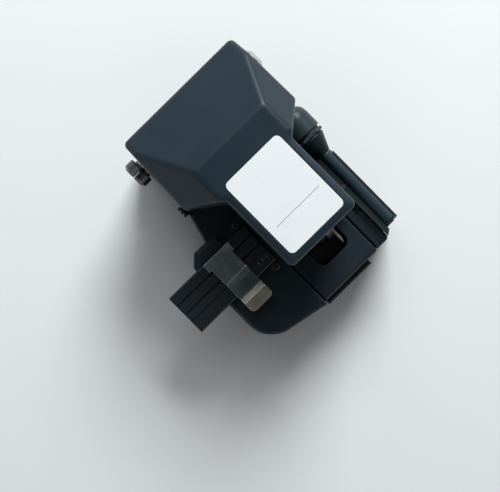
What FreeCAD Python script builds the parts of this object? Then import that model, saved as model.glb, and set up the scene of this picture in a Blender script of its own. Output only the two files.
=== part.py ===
import FreeCAD, Part
import math
import os

from FreeCAD import Vector

# Fibre cleaver. Millimetres. X runs along the fibre, with the adapter at -X and the scrap
# collector at +X. Y runs from the push knob at the front to the lever's hinge at the rear.
# Z is up from the surface that the feet stand on. The origin is the middle of the footprint.

os.makedirs("parts", exist_ok=True)

# ---- clearances ----
shaft_gap = 0.02          # radial, a pin seated in its own body
running_gap = 0.05        # radial, a pin or shaft that turns
slide_gap = 0.3           # between a sliding piece and its guide
root = 0.1                # how far a fused detail reaches into what carries it
tiny = 0.01               # for telling faces and edges apart
far = 60.0                # reach of a cutting tool that passes the whole part
lug_cheek_gap = 0.75      # between a hinge lug and the cheek that swings past it

# ---- the cleave: the fibre's line, the blade's plane and the lever's axis ----
fibre_y = -9.3
fibre_z = 27.0
blade_plane_x = 15.4
hinge_y = 31.2
hinge_z = 32.0
axle_radius = 2.5

# ---- feet and floor plate ----
foot_radius = 3.6
foot_stand = 1.5          # how far a foot stands below the floor plate
foot_recess = 0.8
foot_inset_nose = 6.0
foot_inset_case = 5.4
foot_inset_rear = 6.5
floor_plate_thickness = 2.5
floor_plate_overhang = 1.0
plate_lip = 0.4           # overhang past the straight front and the case
plate_corner = 2.0
floor_screw_radius = 1.1
floor_screw_head_radius = 2.0
floor_screw_length = 8.0
floor_screw_inset = 5.2   # from the body's sides
floor_screw_rear_y = 24.9

# ---- body ----
shelf_z = 20.0            # top of the low rear part
deck_z = 24.0             # top of the front part
block_z = 26.0            # top of the block between the hinge lugs
wing_left_x = -23.4
wing_rear_y = 2.5
wing_wall_height = 2.6    # adapter's rear guide, above the deck
wing_corner = 3.2
wing_ledge = 0.9          # deck left bare round the adapter's rear guide
wing_wall_right_x = -11.8
flare_x = -15.3
flank_proud = 0.2         # how far the body's flanks stand outside the hood
flare_rear_y = 12.2
deck_rear_y = 20.0        # where the front part ends, under the hood
body_rear_y = 37.4
right_block_x = 26.2
step_y = 3.0
nose_left_y = -29.6
nose_mid_x = -18.2
nose_mid_y = -34.4
nose_right_y = -37.6
front_right_y = -36.2
front_bevel_x = 25.3      # where the right front corner starts to slant back
front_bevel_slope = 0.684
rim_round = 1.2
nose_left_round = 8.0
nose_mid_round = 9.0
corner_round = 3.0
edge_round = 0.8
trough_left_x = -1.6
trough_right_x = 21.4
trough_rear_y = 14.5
trough_floor = 2.0        # thickness under the slider
side_wall = 2.4
trough_bevel = 0.4
notch_front_y = -24.9     # notch in the right block's edge, in front of the lever
notch_length = 2.9
notch_depth = 2.3
notch_drop = 1.4
lug_radius = 5.0
lug_gap = 0.2             # between a lug and the inner arm
block_front_y = 16.8
block_rear_y = 36.0
lug_web_inset = 4.0       # from the block's front to the foot of the lugs' webs

# ---- guide rail and slider ----
rail_x = 9.9
rail_width = 5.0
rail_height = 2.6
rail_front_y = -34.0
rail_rear_y = 13.4
rail_groove = 0.5
carriage_width = 11.0
carriage_front_y = -30.0
carriage_length = 17.0
carriage_height = 3.3
carriage_lift = 0.6       # over the trough's floor
carriage_side_gap = 0.2   # to the tunnel through the slider
slider_top_gap = 0.3      # below the lower clamp plates
slider_front_y = -36.6
slider_length = 28.6
slider_side_gap = 0.4
window_left_x = 4.8
window_right_x = 16.9
window_front_y = -28.9
window_rear_y = -11.0
window_round = 2.6
knob_right_x = 17.4
knob_depth = 2.45
knob_height = 6.2
knob_screw_sink = 0.35
knob_screw_length = 6.0
knob_screw_inset = 2.3
knob_grooves = 4
knob_groove = 0.4
knob_round = 0.9
spring_wire = 0.35
slider_spring_radius = 2.2
slider_spring_turns = 6
slider_spring_seat = 3.0
slider_spring_z = 14.0
slider_spring_wall = 1.2  # between a spring's seat and the slider's side

# ---- blade ----
blade_radius = 8.2
blade_thickness = 1.0
blade_bevel = 0.45
blade_above_fibre = 0.1
blade_rest_y = -20.0
blade_bore_radius = 3.0
hub_flange_radius = 4.6
hub_flange_width = 2.0
hub_sleeve_end = 0.4
blade_positions = 16
nut_radius = 4.0
nut_slot = 0.8
nut_slot_depth = 0.6
arbor_radius = 1.5
bracket_plate = 2.3
bracket_width = 8.0
bracket_base = 1.4
bracket_foot = 4.6
bracket_round = 3.6
bracket_screw_depth = 1.0

# ---- lower clamps ----
clamp_plate_thickness = 2.0
clamp_front_reach = 10.1
clamp_rear_reach = 10.2
clamp_slot_half = 1.5
clamp_left_arm_x = -6.8
clamp_right_end_x = 25.6
pad_thickness = 0.9
pad_half_length = 4.0
pad_inset = 0.3
pad_width_left = 5.0
pad_width_right = 4.3
clamp_screw_radius = 0.8
clamp_screw_head_radius = 1.25
screw_head_height = 0.85
clamp_screw_depth = 2.0    # into the deck

# ---- lever hood ----
hood_middle_x = 10.3      # middle of the rear part, between the cheeks
tongue_middle_x = 10.85   # middle of the tongue, the crest and the inner arm
lever_rear_y = 39.05
lever_rear_half = 22.2
lever_shoulder_half = 22.9
shoulder_y = 13.1
neck_y = 5.3
tongue_half = 12.9
tongue_tip_y = -20.8
crest_y = 18.0
crest_half = 14.0
lever_top_z = 57.0
lever_rear_drop = 12.4     # from the level top to the rear edge
side_slope = 50.0         # degrees below the level top
skirt_z = 28.5            # bottom edge of the hood
skirt_right_z = 35.2      # bottom edge above the collector's knob
rear_skirt_z = 36.0
hood_wall = 2.2
hood_round = 1.7
cheek_boss_radius = 6.2
cheek_lead = 2.0          # from the cheek's round end forward to its straight bottom edge
cheek_rear_z = 30.2
rear_notch_inset = 3.0    # from the hinge back to the opening in the rear wall
skirt_run = 7.5           # from the knob's rear to the end of the right skirt's cut
skirt_slant = 2.5
skirt_inner_run = 3.5     # the same, in the tongue's wall
skirt_inner_reach = 6.0
bush_radius = 3.6
bush_stand = 0.1          # how far a bush stands proud of the cheek

# ---- inner arm, upper clamps and anvil ----
arm_bottom_z = 38.0
arm_thickness = 5.0
arm_rear_y = 0.0
arm_pocket_inset = 6.2
arm_pocket_depth = 3.2
arm_pocket_round = 1.2
arm_side_gap = 0.6
arm_tie_back = 11.0        # from the hinge forward to the tie rod
arm_tie_rise = 1.5
arm_tie_radius = 1.3
arm_plate = 2.5           # the two plates back to the axle
eye_radius = 4.2
arm_boss_radius = 1.9
arm_screw_radius = 0.8
arm_screw_length = 9.0
jaw_gap = 0.2             # between upper and lower pads, the fibre's room
jaw_pad_thickness = 0.8
jaw_height = 6.0
jaw_half_length = 4.6
jaw_pin_radius = 0.9
jaw_pin_spacing = 5.6
jaw_head_radius = 1.5
jaw_head_height = 1.2
anvil_width = 2.0
anvil_gap = 0.35
anvil_half_length = 3.4
anvil_tip_thickness = 0.7
anvil_height = 7.6

# ---- wound wire ----
coil_stations = 10        # per turn
coil_sides = 5

# ---- hinge pins, screws and torsion spring ----
left_head_radius = 4.3
left_head_width = 3.6
left_head_gap = 0.358      # between the neck and the bush
left_neck_length = 0.6
left_neck_radius = 3.0
left_head_slant = 1.0
left_slot_width = 1.0
left_slot_depth = 2.6
right_head_radius = 3.6
right_head_gap = 0.088
right_head_width = 2.3
torsion_wire = 0.5
torsion_radius = 3.6
torsion_turns = 7
torsion_pitch = 1.15

# ---- lever lock ----
lock_thumb_front_y = 12.4
lock_thumb_length = 3.4
lock_thumb_reach = 1.5     # outside the flank
lock_plate_inset = 1.0     # between the wall and the inner plate
lock_thumb_z = 16.6
lock_thumb_height = 6.0
lock_rib_count = 3
lock_rib_height = 0.5
lock_rib_margin = 0.3      # thumb face left bare above and below the ribs
lock_neck_height = 2.0
lock_neck_z = 17.8
lock_plate = 1.5
lock_travel = 3.0
lock_hook_top_z = 32.4
lock_hook_height = 1.8
lock_hook_reach = 2.8
catch_gap = 0.8            # between the hook and the catch at rest
catch_seat = 1.0           # depth of the catch in the cheek
catch_length = 2.4

# ---- fibre adapter and lid ----
adapter_left_x = -35.2
adapter_right_x = -3.4
adapter_half_width = 7.2
adapter_bottom_z = 22.4
adapter_rise = 0.2        # top above the fibre's line
adapter_end_lift = 1.4
adapter_groove_half = 0.55
adapter_line = 3.6         # from the fibre back to the guide line
adapter_line_depth = 0.5
pocket_gap = 0.1
lid_centre_x = -15.4
lid_half_width = 4.3
lid_ear_width = 0.9
lid_ear_length = 2.7
lid_sheet = 0.5
lid_rear_y = -2.5
lid_step_y = -11.4
lid_bend_y = -17.9
lid_tab_y = -19.6
lid_tip_y = -23.3
lid_rise = 2.0            # lid's top above the adapter's
lid_pin_radius = 0.4
lid_eye_radius = 0.7
lid_pad_thickness = 0.9
lid_tab_rise = 1.2
magnet_radius = 1.7
magnet_height = 1.4

# ---- scrap collector ----
roller_x = 29.8
roller_radius = 1.6
roller_gap = 0.3
roller_front_y = -32.0
roller_rear_y = -4.1
spindle_radius = 0.7
roller_ear = 0.6
roller_end_gap = 0.1      # to its ears
ear_rim = 0.2             # over the spindle
spindle_end = 0.9         # beyond the roller
case_left_x = 24.0
case_right_x = 32.2
case_front_y = -33.0
case_rear_y = -0.9
case_top_z = 21.2
case_wall = 0.9
bin_wall = 0.7
bin_gap = 0.2
bin_headroom = 1.0
bin_lip = 0.4             # of the front panel, round the drawer
bin_grip_radius = 1.2
bin_grip_inset = 1.2
strip_left_x = 26.3
strip_right_x = 28.0
strip_thickness = 2.2
strip_top_z = 25.4
strip_gap = 0.2           # to the cone
strip_foot = 1.0
cover_screw_y = -15.1
cover_screw_radius = 0.55
cover_screw_head_radius = 0.75
cover_screw_head = 0.4
cover_screw_length = 3.2
cover_screw_slot = 0.24
knob_radius = 5.1
knob_front_y = 4.0
knob_rear_y = 12.6
knob_dome = 3.4
cone_front_radius = 2.0
cone_rear_radius = 4.5
cone_front_y = -3.8
cone_rear_y = 1.8
bearing_plate = 0.9
bearing_plate_y = 2.2
bearing_plate_half = 4.6
arm_bar = 0.7
arm_pin_z = 22.6
arm_pin_radius = 0.6
arm_eye_radius = 1.15
arm_lug_left = 27.9
arm_lug_width = 1.7
arm_ear = 1.2


# ---------------------------------------------------------------- shapes
X = Vector(1, 0, 0)
Y = Vector(0, 1, 0)
Z = Vector(0, 0, 1)


def box(x0, x1, y0, y1, z0, z1):
    """Block between two corners."""
    return Part.makeBox(x1 - x0, y1 - y0, z1 - z0, Vector(x0, y0, z0))


def rod(direction, x, y, z, radius, length):
    """Cylinder from its low end (x, y, z) along direction."""
    return Part.makeCylinder(radius, length, Vector(x, y, z), direction)


def face_of(points, radii, place):
    """Flat face on a closed outline; radii rounds each corner with a tangent arc."""
    corners = [Vector(u, v, 0) for u, v in points]
    count = len(corners)
    edges = []
    last = None
    first = None
    for i, corner in enumerate(corners):
        back = (corners[i - 1] - corner).normalize()
        ahead = (corners[(i + 1) % count] - corner).normalize()
        radius = radii[i] if radii else 0
        half = 0.5 * back.getAngle(ahead)
        if radius > 0 and half < 1.57:
            run = radius / math.tan(half)
            start = corner + back * run
            end = corner + ahead * run
            centre_way = (back + ahead).normalize()
            middle = corner + centre_way * (radius / math.sin(half) - radius)
            arc = Part.Arc(place(start), place(middle), place(end)).toShape()
        else:
            start = corner
            end = corner
            arc = None
        if last is not None:
            edges.append(Part.makeLine(place(last), place(start)))
        else:
            first = start
        if arc is not None:
            edges.append(arc)
        last = end
    edges.append(Part.makeLine(place(last), place(first)))
    return Part.Face(Part.Wire(edges))


def prism_z(points, radii, z0, z1):
    """Outline in X, Y raised from z0 to z1."""
    face = face_of(points, radii, lambda p: Vector(p.x, p.y, z0))
    return face.extrude(Vector(0, 0, z1 - z0))


def prism_x(points, radii, x0, x1):
    """Outline in Y, Z carried from x0 to x1."""
    face = face_of(points, radii, lambda p: Vector(x0, p.x, p.y))
    return face.extrude(Vector(x1 - x0, 0, 0))


def prism_y(points, radii, y0, y1):
    """Outline in X, Z carried from y0 to y1."""
    face = face_of(points, radii, lambda p: Vector(p.x, y0, p.y))
    return face.extrude(Vector(0, y1 - y0, 0))


def turned(points, origin, along, across):
    """Solid of revolution: points are (distance along the axis, radius) from origin."""
    spots = [origin + along * a + across * r for a, r in points]
    wire = Part.makePolygon(spots + [spots[0]])
    return Part.Face(wire).revolve(origin, along, 360)


def coil(origin, along, radius, wire, pitch, turns):
    """Wire of a small polygon section wound on a helix, straight between its stations."""
    sections = []
    for i in range(int(round(turns * coil_stations)) + 1):
        angle = 2 * math.pi * i / coil_stations
        out = Vector(math.cos(angle), math.sin(angle), 0)
        centre = out * radius + Vector(0, 0, pitch * i / coil_stations)
        ring = []
        for k in range(coil_sides):
            turn = 2 * math.pi * k / coil_sides
            ring.append(centre + out * (wire * math.cos(turn)) + Z * (wire * math.sin(turn)))
        sections.append(Part.makePolygon(ring + [ring[0]]))
    spring = Part.makeLoft(sections, True, True)
    turn = FreeCAD.Rotation(Vector(0, 0, 1), along)
    spring.Placement = FreeCAD.Placement(origin, turn)
    return spring


def fuse(shapes):
    """One solid out of pieces that overlap or share a face."""
    return shapes[0].multiFuse(shapes[1:]).removeSplitter()


def cut(shape, tools):
    """Shape less every tool."""
    return shape.cut(tools).removeSplitter() if tools else shape


def save(node, shapes):
    """Write one node; a list becomes a group of separate solids."""
    group = shapes if isinstance(shapes, list) else [shapes]
    shape = group[0] if len(group) == 1 else Part.makeCompound(group)
    shape.exportStep(f"parts/{node}.step")


# ---------------------------------------------------------------- heights and places that follow
flank_left_x = hood_middle_x - lever_shoulder_half - flank_proud
flank_right_x = hood_middle_x + lever_rear_half + flank_proud
cheek_taper = (lever_shoulder_half - lever_rear_half) / (lever_rear_y - shoulder_y)
hinge_half = lever_shoulder_half - cheek_taper * (hinge_y - shoulder_y)
left_seat_x = hood_middle_x - hinge_half - bush_stand - left_head_gap
left_head_x = left_seat_x - left_neck_length - left_head_width
right_seat_x = hood_middle_x + hinge_half + bush_stand + right_head_gap
right_head_x = right_seat_x + right_head_width
lock_thumb_x = flank_left_x - lock_thumb_reach
floor_z = foot_stand + floor_plate_thickness
trough_z = floor_z + trough_floor
slider_top_z = deck_z - slider_top_gap
slider_left_x = trough_left_x + slider_side_gap
slider_right_x = trough_right_x - slider_side_gap
slider_rear_y = slider_front_y + slider_length
rail_top_z = trough_z + rail_height
carriage_top_z = trough_z + carriage_lift + carriage_height
blade_z = fibre_z + blade_above_fibre - blade_radius
clamp_top_z = deck_z + clamp_plate_thickness
pad_top_z = clamp_top_z + pad_thickness
jaw_pad_z = pad_top_z + jaw_gap
jaw_z = jaw_pad_z + jaw_pad_thickness
arm_top_z = arm_bottom_z + arm_thickness
adapter_top_z = fibre_z + adapter_rise
adapter_rear_y = fibre_y + adapter_half_width
adapter_front_y = fibre_y - adapter_half_width
roller_high_z = fibre_z + roller_gap / 2 + roller_radius
roller_low_z = fibre_z - roller_gap / 2 - roller_radius
bevel_end_x = front_bevel_x + (case_front_y - plate_lip - front_right_y) / front_bevel_slope
arm_half = tongue_half - hood_wall - arm_side_gap
arm_front_y = tongue_tip_y + hood_wall + arm_side_gap
lug_left_x = hood_middle_x - lever_rear_half + hood_wall + lug_cheek_gap
lug_right_x = hood_middle_x + lever_rear_half - hood_wall - lug_cheek_gap
lug_inner_left_x = tongue_middle_x - arm_half - lug_gap
lug_inner_right_x = tongue_middle_x + arm_half + lug_gap
left_pad_right_x = blade_plane_x - clamp_slot_half - pad_inset
right_pad_left_x = blade_plane_x + clamp_slot_half + pad_inset


# ---------------------------------------------------------------- body
def body_outline(grow):
    """Plan of the body: wing at the left, slanted nose, straight right flank."""
    points = [
        (wing_left_x - grow, nose_left_y - grow / 2),
        (nose_mid_x - grow / 2, nose_mid_y - grow),
        (trough_left_x, nose_right_y - grow),
        (right_block_x, nose_right_y - grow),
        (right_block_x, step_y),
        (flank_right_x, step_y),
        (flank_right_x, body_rear_y),
        (flank_left_x, body_rear_y),
        (flank_left_x, flare_rear_y),
        (flare_x, wing_rear_y),
        (wing_left_x + wing_corner, wing_rear_y),
        (wing_left_x - grow, wing_rear_y - wing_corner),
    ]
    radii = [nose_left_round, nose_mid_round, 0, 0, 0, corner_round / 2, corner_round,
             corner_round, 0, 0, edge_round, edge_round]
    return points, radii


def front_bevel_y(x):
    """Y of the slanted right front corner at x."""
    return front_right_y + (x - front_bevel_x) * front_bevel_slope


def front_bevel(z0, z1):
    """Wedge that slants the right front corner back towards the roller."""
    points = [
        (front_bevel_x, front_right_y),
        (front_bevel_x, -far),
        (bevel_end_x, -far),
        (bevel_end_x, front_bevel_y(bevel_end_x)),
    ]
    return prism_z(points, None, z0, z1)


def body():
    """Body block: deck, wing, low rear shelf, hinge lugs, slider trough and adapter channel."""
    points, radii = body_outline(0)
    low = prism_z(points, radii, floor_z, shelf_z)
    front = prism_z(points, radii, shelf_z, deck_z)
    front = front.common(box(-far, far, -far, deck_rear_y, shelf_z, deck_z))
    front = cut(front, [box(trough_right_x + side_wall, far, step_y, far, shelf_z, deck_z + 1)])
    rim = [e for e in front.Edges if e.BoundBox.ZMin > deck_z - tiny]
    front = front.makeChamfer(rim_round * 0.5, rim)
    wall_top = deck_z + wing_wall_height
    wing = prism_z(
        [
            (wing_left_x + wing_ledge, adapter_rear_y + pocket_gap),
            (wing_wall_right_x, adapter_rear_y + pocket_gap),
            (wing_wall_right_x, wing_rear_y - rim_round),
            (wing_left_x + wing_corner + wing_ledge, wing_rear_y - rim_round),
            (wing_left_x + wing_ledge, wing_rear_y - wing_corner - rim_round),
        ],
        None,
        shelf_z,
        wall_top,
    )
    block = box(
        lug_left_x,
        lug_right_x,
        block_front_y,
        block_rear_y,
        shelf_z - 1,
        block_z,
    )
    shape = fuse([low, front, wing, block] + hinge_lugs())
    shape = cut(shape, body_hollows())
    return shape


def hinge_lugs():
    """Two lugs that hold the axle, on webs that lean forward to the block."""
    lugs = []
    slant = lug_radius * math.sqrt(0.5)
    web = [
        (block_front_y + lug_web_inset, block_z - root),
        (hinge_y + lug_radius, block_z - root),
        (hinge_y + lug_radius, hinge_z),
        (hinge_y - slant, hinge_z + slant),
    ]
    for low, high in ((lug_left_x, lug_inner_left_x), (lug_inner_right_x, lug_right_x)):
        lugs.append(rod(X, low, hinge_y, hinge_z, lug_radius, high - low))
        lugs.append(prism_x(web, None, low, high))
    return lugs


def body_hollows():
    """Everything taken out of the body."""
    tools = [
        box(trough_left_x, trough_right_x, -far, trough_rear_y, trough_z, far),
        box(
            -far,
            adapter_right_x + pocket_gap,
            adapter_front_y - pocket_gap,
            adapter_rear_y + pocket_gap,
            adapter_bottom_z - pocket_gap,
            far,
        ),
        box(trough_right_x, far, -far, front_right_y, floor_z - 1, far),
        front_bevel(floor_z - 1, far),
        box(case_left_x - bin_gap, far, -far, step_y, floor_z - 1, case_top_z + bin_gap),
        box(
            right_block_x - notch_depth,
            far,
            notch_front_y,
            notch_front_y + notch_length,
            deck_z - notch_drop,
            far,
        ),
        rod(X, -far, hinge_y, hinge_z, axle_radius + shaft_gap, 2 * far),
        lock_slot(),
    ]
    for edge_x in (trough_left_x, trough_right_x):
        bevel = [
            (edge_x - trough_bevel, deck_z),
            (edge_x, deck_z - trough_bevel),
            (edge_x + trough_bevel, deck_z),
        ]
        tools.append(prism_y(bevel, None, -far, adapter_front_y if edge_x < 0 else neck_y))
    for x, y in floor_screw_places():
        tools.append(rod(Z, x, y, floor_z, floor_screw_radius + shaft_gap, floor_screw_length))
    for x, y in clamp_screw_places():
        tools.append(
            rod(Z, x, y, deck_z - clamp_screw_depth, clamp_screw_radius + shaft_gap, far)
        )
    return tools


def floor_screw_places():
    """Centres of the screws that hold the floor plate."""
    left = wing_left_x + floor_screw_inset
    return [
        (left, nose_left_y + floor_screw_inset),
        (left, wing_rear_y - floor_screw_inset),
        (flank_left_x + floor_screw_inset, floor_screw_rear_y),
        (flank_right_x - floor_screw_inset, floor_screw_rear_y),
    ]


def foot_places():
    """Centres of the four feet."""
    return [
        (nose_mid_x + foot_inset_nose, nose_mid_y + foot_inset_nose),
        (case_right_x - foot_inset_case, case_front_y + foot_inset_case),
        (flank_left_x + foot_inset_rear, body_rear_y - foot_inset_rear),
        (flank_right_x - foot_inset_rear, body_rear_y - foot_inset_rear),
    ]


def floor_plate():
    """Plate under the body and the collector, with countersinks and foot recesses."""
    points, radii = body_outline(floor_plate_overhang)
    plate = prism_z(points, radii, foot_stand, floor_z)
    wing = prism_z(
        [
            (case_left_x, front_right_y),
            (front_bevel_x, front_right_y),
            (bevel_end_x, front_bevel_y(bevel_end_x)),
            (case_right_x + plate_lip - plate_corner, case_front_y - plate_lip),
            (case_right_x + plate_lip, case_front_y - plate_lip + plate_corner),
            (case_right_x + plate_lip, step_y + 1),
            (case_left_x, step_y + 1),
        ],
        None,
        foot_stand,
        floor_z,
    )
    plate = fuse([plate, wing])
    tools = [
        box(trough_right_x, far, -far, front_right_y, 0, floor_z + 1),
        box(trough_left_x, far, -far, nose_right_y - plate_lip, 0, floor_z + 1),
        front_bevel(0, floor_z + 1),
    ]
    for x, y in foot_places():
        tools.append(rod(Z, x, y, 0, foot_radius + shaft_gap, foot_stand + foot_recess))
    for x, y in floor_screw_places():
        tools.append(rod(Z, x, y, 0, floor_screw_radius + shaft_gap, floor_z + 1))
        tools.append(countersink(x, y, shaft_gap))
    return cut(plate, tools)


def countersink(x, y, gap):
    """Cone of a countersunk head whose wide end is flush with the plate's underside."""
    head = floor_screw_head_radius + gap
    shank = floor_screw_radius + gap
    height = head - shank
    return Part.makeCone(head, shank, height, Vector(x, y, foot_stand), Z)


def floor_screws():
    """Countersunk screws up through the floor plate."""
    return [
        fuse([rod(Z, x, y, foot_stand, floor_screw_radius, floor_screw_length),
              countersink(x, y, 0)])
        for x, y in floor_screw_places()
    ]


def rubber_feet():
    """Four domed discs seated in the floor plate."""
    feet = []
    for x, y in foot_places():
        height = foot_stand + foot_recess
        profile = [
            (0, 0),
            (0, foot_radius - 0.5),
            (0.4, foot_radius),
            (height, foot_radius),
            (height, 0),
        ]
        feet.append(turned(profile, Vector(x, y, 0), Z, X))
    return feet


# ---------------------------------------------------------------- guide rail and slider
def guide_rail():
    """Miniature rail with a groove along each flank."""
    half = rail_width / 2
    middle = trough_z + rail_height * 0.55
    outline = [
        (rail_x - half, trough_z),
        (rail_x + half, trough_z),
        (rail_x + half, middle - rail_groove),
        (rail_x + half - rail_groove, middle),
        (rail_x + half, middle + rail_groove),
        (rail_x + half, rail_top_z),
        (rail_x - half, rail_top_z),
        (rail_x - half, middle + rail_groove),
        (rail_x - half + rail_groove, middle),
        (rail_x - half, middle - rail_groove),
    ]
    return prism_y(outline, None, rail_front_y, rail_rear_y)


def rail_carriage():
    """Block that rides on the rail."""
    half = carriage_width / 2
    inner = rail_width / 2 + running_gap
    rear = carriage_front_y + carriage_length
    shape = box(
        rail_x - half,
        rail_x + half,
        carriage_front_y,
        rear,
        trough_z + carriage_lift,
        carriage_top_z,
    )
    groove = box(
        rail_x - inner,
        rail_x + inner,
        carriage_front_y - 1,
        rear + 1,
        trough_z,
        rail_top_z + running_gap,
    )
    tools = [groove]
    for x, y in bracket_screw_places():
        depth = carriage_top_z - bracket_screw_depth
        tools.append(rod(Z, x, y, depth, clamp_screw_radius + shaft_gap, far))
    return cut(shape, tools)


def slider_block():
    """Sliding block: window for the blade, tunnel for the carriage, seats for the springs."""
    shape = box(
        slider_left_x,
        slider_right_x,
        slider_front_y,
        slider_rear_y,
        trough_z + slide_gap,
        slider_top_z,
    )
    top_front = [
        e
        for e in shape.Edges
        if e.BoundBox.YMax < slider_front_y + tiny and e.BoundBox.ZMin > slider_top_z - tiny
    ]
    shape = shape.makeFillet(rim_round, top_front)
    top_sides = [
        e
        for e in shape.Edges
        if e.BoundBox.ZMin > slider_top_z - tiny and e.BoundBox.XLength < tiny
    ]
    shape = shape.makeChamfer(trough_bevel, top_sides)
    half = carriage_width / 2 + carriage_side_gap
    tunnel = box(rail_x - half, rail_x + half, -far, far, trough_z, carriage_top_z)
    window = prism_z(
        [
            (window_left_x, window_front_y),
            (window_right_x, window_front_y),
            (window_right_x, window_rear_y),
            (window_left_x, window_rear_y),
        ],
        [window_round] * 4,
        carriage_top_z - root,
        slider_top_z + 1,
    )
    tools = [tunnel, window]
    for x in slider_spring_places():
        tools.append(
            rod(
                Y,
                x,
                slider_rear_y - slider_spring_seat,
                slider_spring_z,
                slider_spring_radius + spring_wire + slide_gap,
                far,
            )
        )
    for x, z in knob_screw_places():
        depth = knob_screw_length + knob_screw_sink - knob_depth
        tools.append(rod(Y, x, slider_front_y, z, clamp_screw_radius + shaft_gap, depth))
    return cut(shape, tools)


def slider_spring_places():
    """X of the two return springs."""
    reach = slider_spring_radius + spring_wire + slider_spring_wall
    return (slider_left_x + reach, slider_right_x - reach)


def knob_screw_places():
    """Screws that hold the push knob to the slider."""
    z = trough_z + slide_gap + knob_height / 2
    return [(slider_left_x + knob_screw_inset, z), (knob_right_x - knob_screw_inset, z)]


def push_knob():
    """Push plate across the slider's front, with finger grooves and a rounded lip."""
    z0 = trough_z + slide_gap
    front = slider_front_y - knob_depth
    outline = [
        (front, z0),
        (slider_front_y, z0),
        (slider_front_y, z0 + knob_height),
        (front, z0 + knob_height),
    ]
    shape = prism_x(outline, [knob_round, 0, 0, knob_round], slider_left_x, knob_right_x)
    rail_room = rail_width / 2 + slide_gap
    tools = [
        box(
            rail_x - rail_room,
            rail_x + rail_room,
            front - 1,
            slider_front_y + 1,
            z0 - 1,
            rail_top_z + slide_gap,
        )
    ]
    for i in range(knob_grooves):
        z = z0 + knob_height * (i + 1) / (knob_grooves + 1)
        groove = [(front, z - knob_groove), (front + knob_groove, z), (front, z + knob_groove)]
        tools.append(prism_x(groove, None, -far, far))
    for x, z in knob_screw_places():
        tools.append(rod(Y, x, -far, z, clamp_screw_radius + shaft_gap, far))
        sink = far + front + knob_screw_sink + screw_head_height
        tools.append(rod(Y, x, -far, z, clamp_screw_head_radius + shaft_gap, sink))
    return cut(shape, tools)


def knob_screws():
    """Two cap screws sunk into the push knob."""
    front = slider_front_y - knob_depth
    return [
        screw(Vector(x, front + knob_screw_sink, z), Y, knob_screw_length)
        for x, z in knob_screw_places()
    ]


def screw(spot, along, length):
    """Small cap screw; spot is the middle of its head's outer face."""
    head = Part.makeCylinder(clamp_screw_head_radius, screw_head_height, spot, along)
    shank = Part.makeCylinder(clamp_screw_radius, length, spot, along)
    return fuse([head, shank])


def slider_springs():
    """Return springs between the slider's seats and the trough's rear wall."""
    start = slider_rear_y - slider_spring_seat + spring_wire + running_gap
    length = trough_rear_y - start - 2 * (spring_wire + running_gap)
    springs = []
    for x in slider_spring_places():
        springs.append(
            coil(
                Vector(x, start + spring_wire, slider_spring_z),
                Y,
                slider_spring_radius,
                spring_wire,
                length / slider_spring_turns,
                slider_spring_turns,
            )
        )
    return springs


# ---------------------------------------------------------------- blade
def blade_bracket():
    """Angle bracket on the carriage with the arbor that carries the blade's hub."""
    flange_left = blade_plane_x - blade_thickness / 2 - hub_flange_width
    right = flange_left - slide_gap
    left = right - bracket_plate
    half = bracket_width / 2
    upright = prism_x(
        [
            (blade_rest_y - half, carriage_top_z),
            (blade_rest_y + half, carriage_top_z),
            (blade_rest_y + half, blade_z + bracket_round),
            (blade_rest_y - half, blade_z + bracket_round),
        ],
        [0, 0, bracket_round - 0.2, bracket_round - 0.2],
        left,
        right,
    )
    base = box(
        left - bracket_foot,
        right,
        blade_rest_y - half,
        blade_rest_y + half,
        carriage_top_z,
        carriage_top_z + bracket_base,
    )
    arbor_end = blade_plane_x + blade_thickness / 2 + hub_sleeve_end
    arbor = rod(X, left, blade_rest_y, blade_z, arbor_radius, arbor_end - left)
    gusset = prism_y(
        [(left - 3, carriage_top_z + 1), (left + 0.5, carriage_top_z + 1),
         (left + 0.5, carriage_top_z + 5)],
        None,
        blade_rest_y - 0.8,
        blade_rest_y + 0.8,
    )
    shape = fuse([upright, base, arbor, gusset])
    tools = []
    for x, y in bracket_screw_places():
        tools.append(rod(Z, x, y, carriage_top_z - 1, clamp_screw_radius + shaft_gap, 4))
    return cut(shape, tools)


def bracket_screw_places():
    """Screws that hold the bracket down on the carriage."""
    left = blade_plane_x - blade_thickness / 2 - hub_flange_width - slide_gap - bracket_plate
    x = left - bracket_foot / 2
    return [(x, blade_rest_y - 2.4), (x, blade_rest_y + 2.4)]


def bracket_screws():
    """Two cap screws through the bracket into the carriage."""
    top = carriage_top_z + bracket_base + screw_head_height
    length = screw_head_height + bracket_base + bracket_screw_depth
    return [screw(Vector(x, y, top), Z * -1, length) for x, y in bracket_screw_places()]


def blade():
    """Round blade: a thin disc with a bevel on both sides of its edge."""
    half = blade_thickness / 2
    bore = blade_bore_radius + shaft_gap
    profile = [
        (-half, bore),
        (-half, blade_radius - blade_bevel * 2.5),
        (0, blade_radius),
        (half, blade_radius - blade_bevel * 2.5),
        (half, bore),
    ]
    return turned(profile, Vector(blade_plane_x, blade_rest_y, blade_z), X, Z)


def blade_hub():
    """Hub with a sixteen-sided index flange behind the blade and a sleeve through its bore."""
    half = blade_thickness / 2
    left = -half - hub_flange_width
    right = half + hub_sleeve_end
    bore = arbor_radius + running_gap
    spot = Vector(blade_plane_x, blade_rest_y, blade_z)
    sleeve = [(left, bore), (left, blade_bore_radius), (right, blade_bore_radius), (right, bore)]
    corners = []
    for i in range(blade_positions):
        angle = 2 * math.pi * (i + 0.5) / blade_positions
        y = blade_rest_y + hub_flange_radius * math.cos(angle)
        corners.append((y, blade_z + hub_flange_radius * math.sin(angle)))
    flange = prism_x(corners, None, blade_plane_x + left, blade_plane_x - half)
    hole = rod(X, blade_plane_x + left - 1, blade_rest_y, blade_z, bore, 9)
    return cut(fuse([turned(sleeve, spot, X, Z), flange]), [hole])


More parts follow.
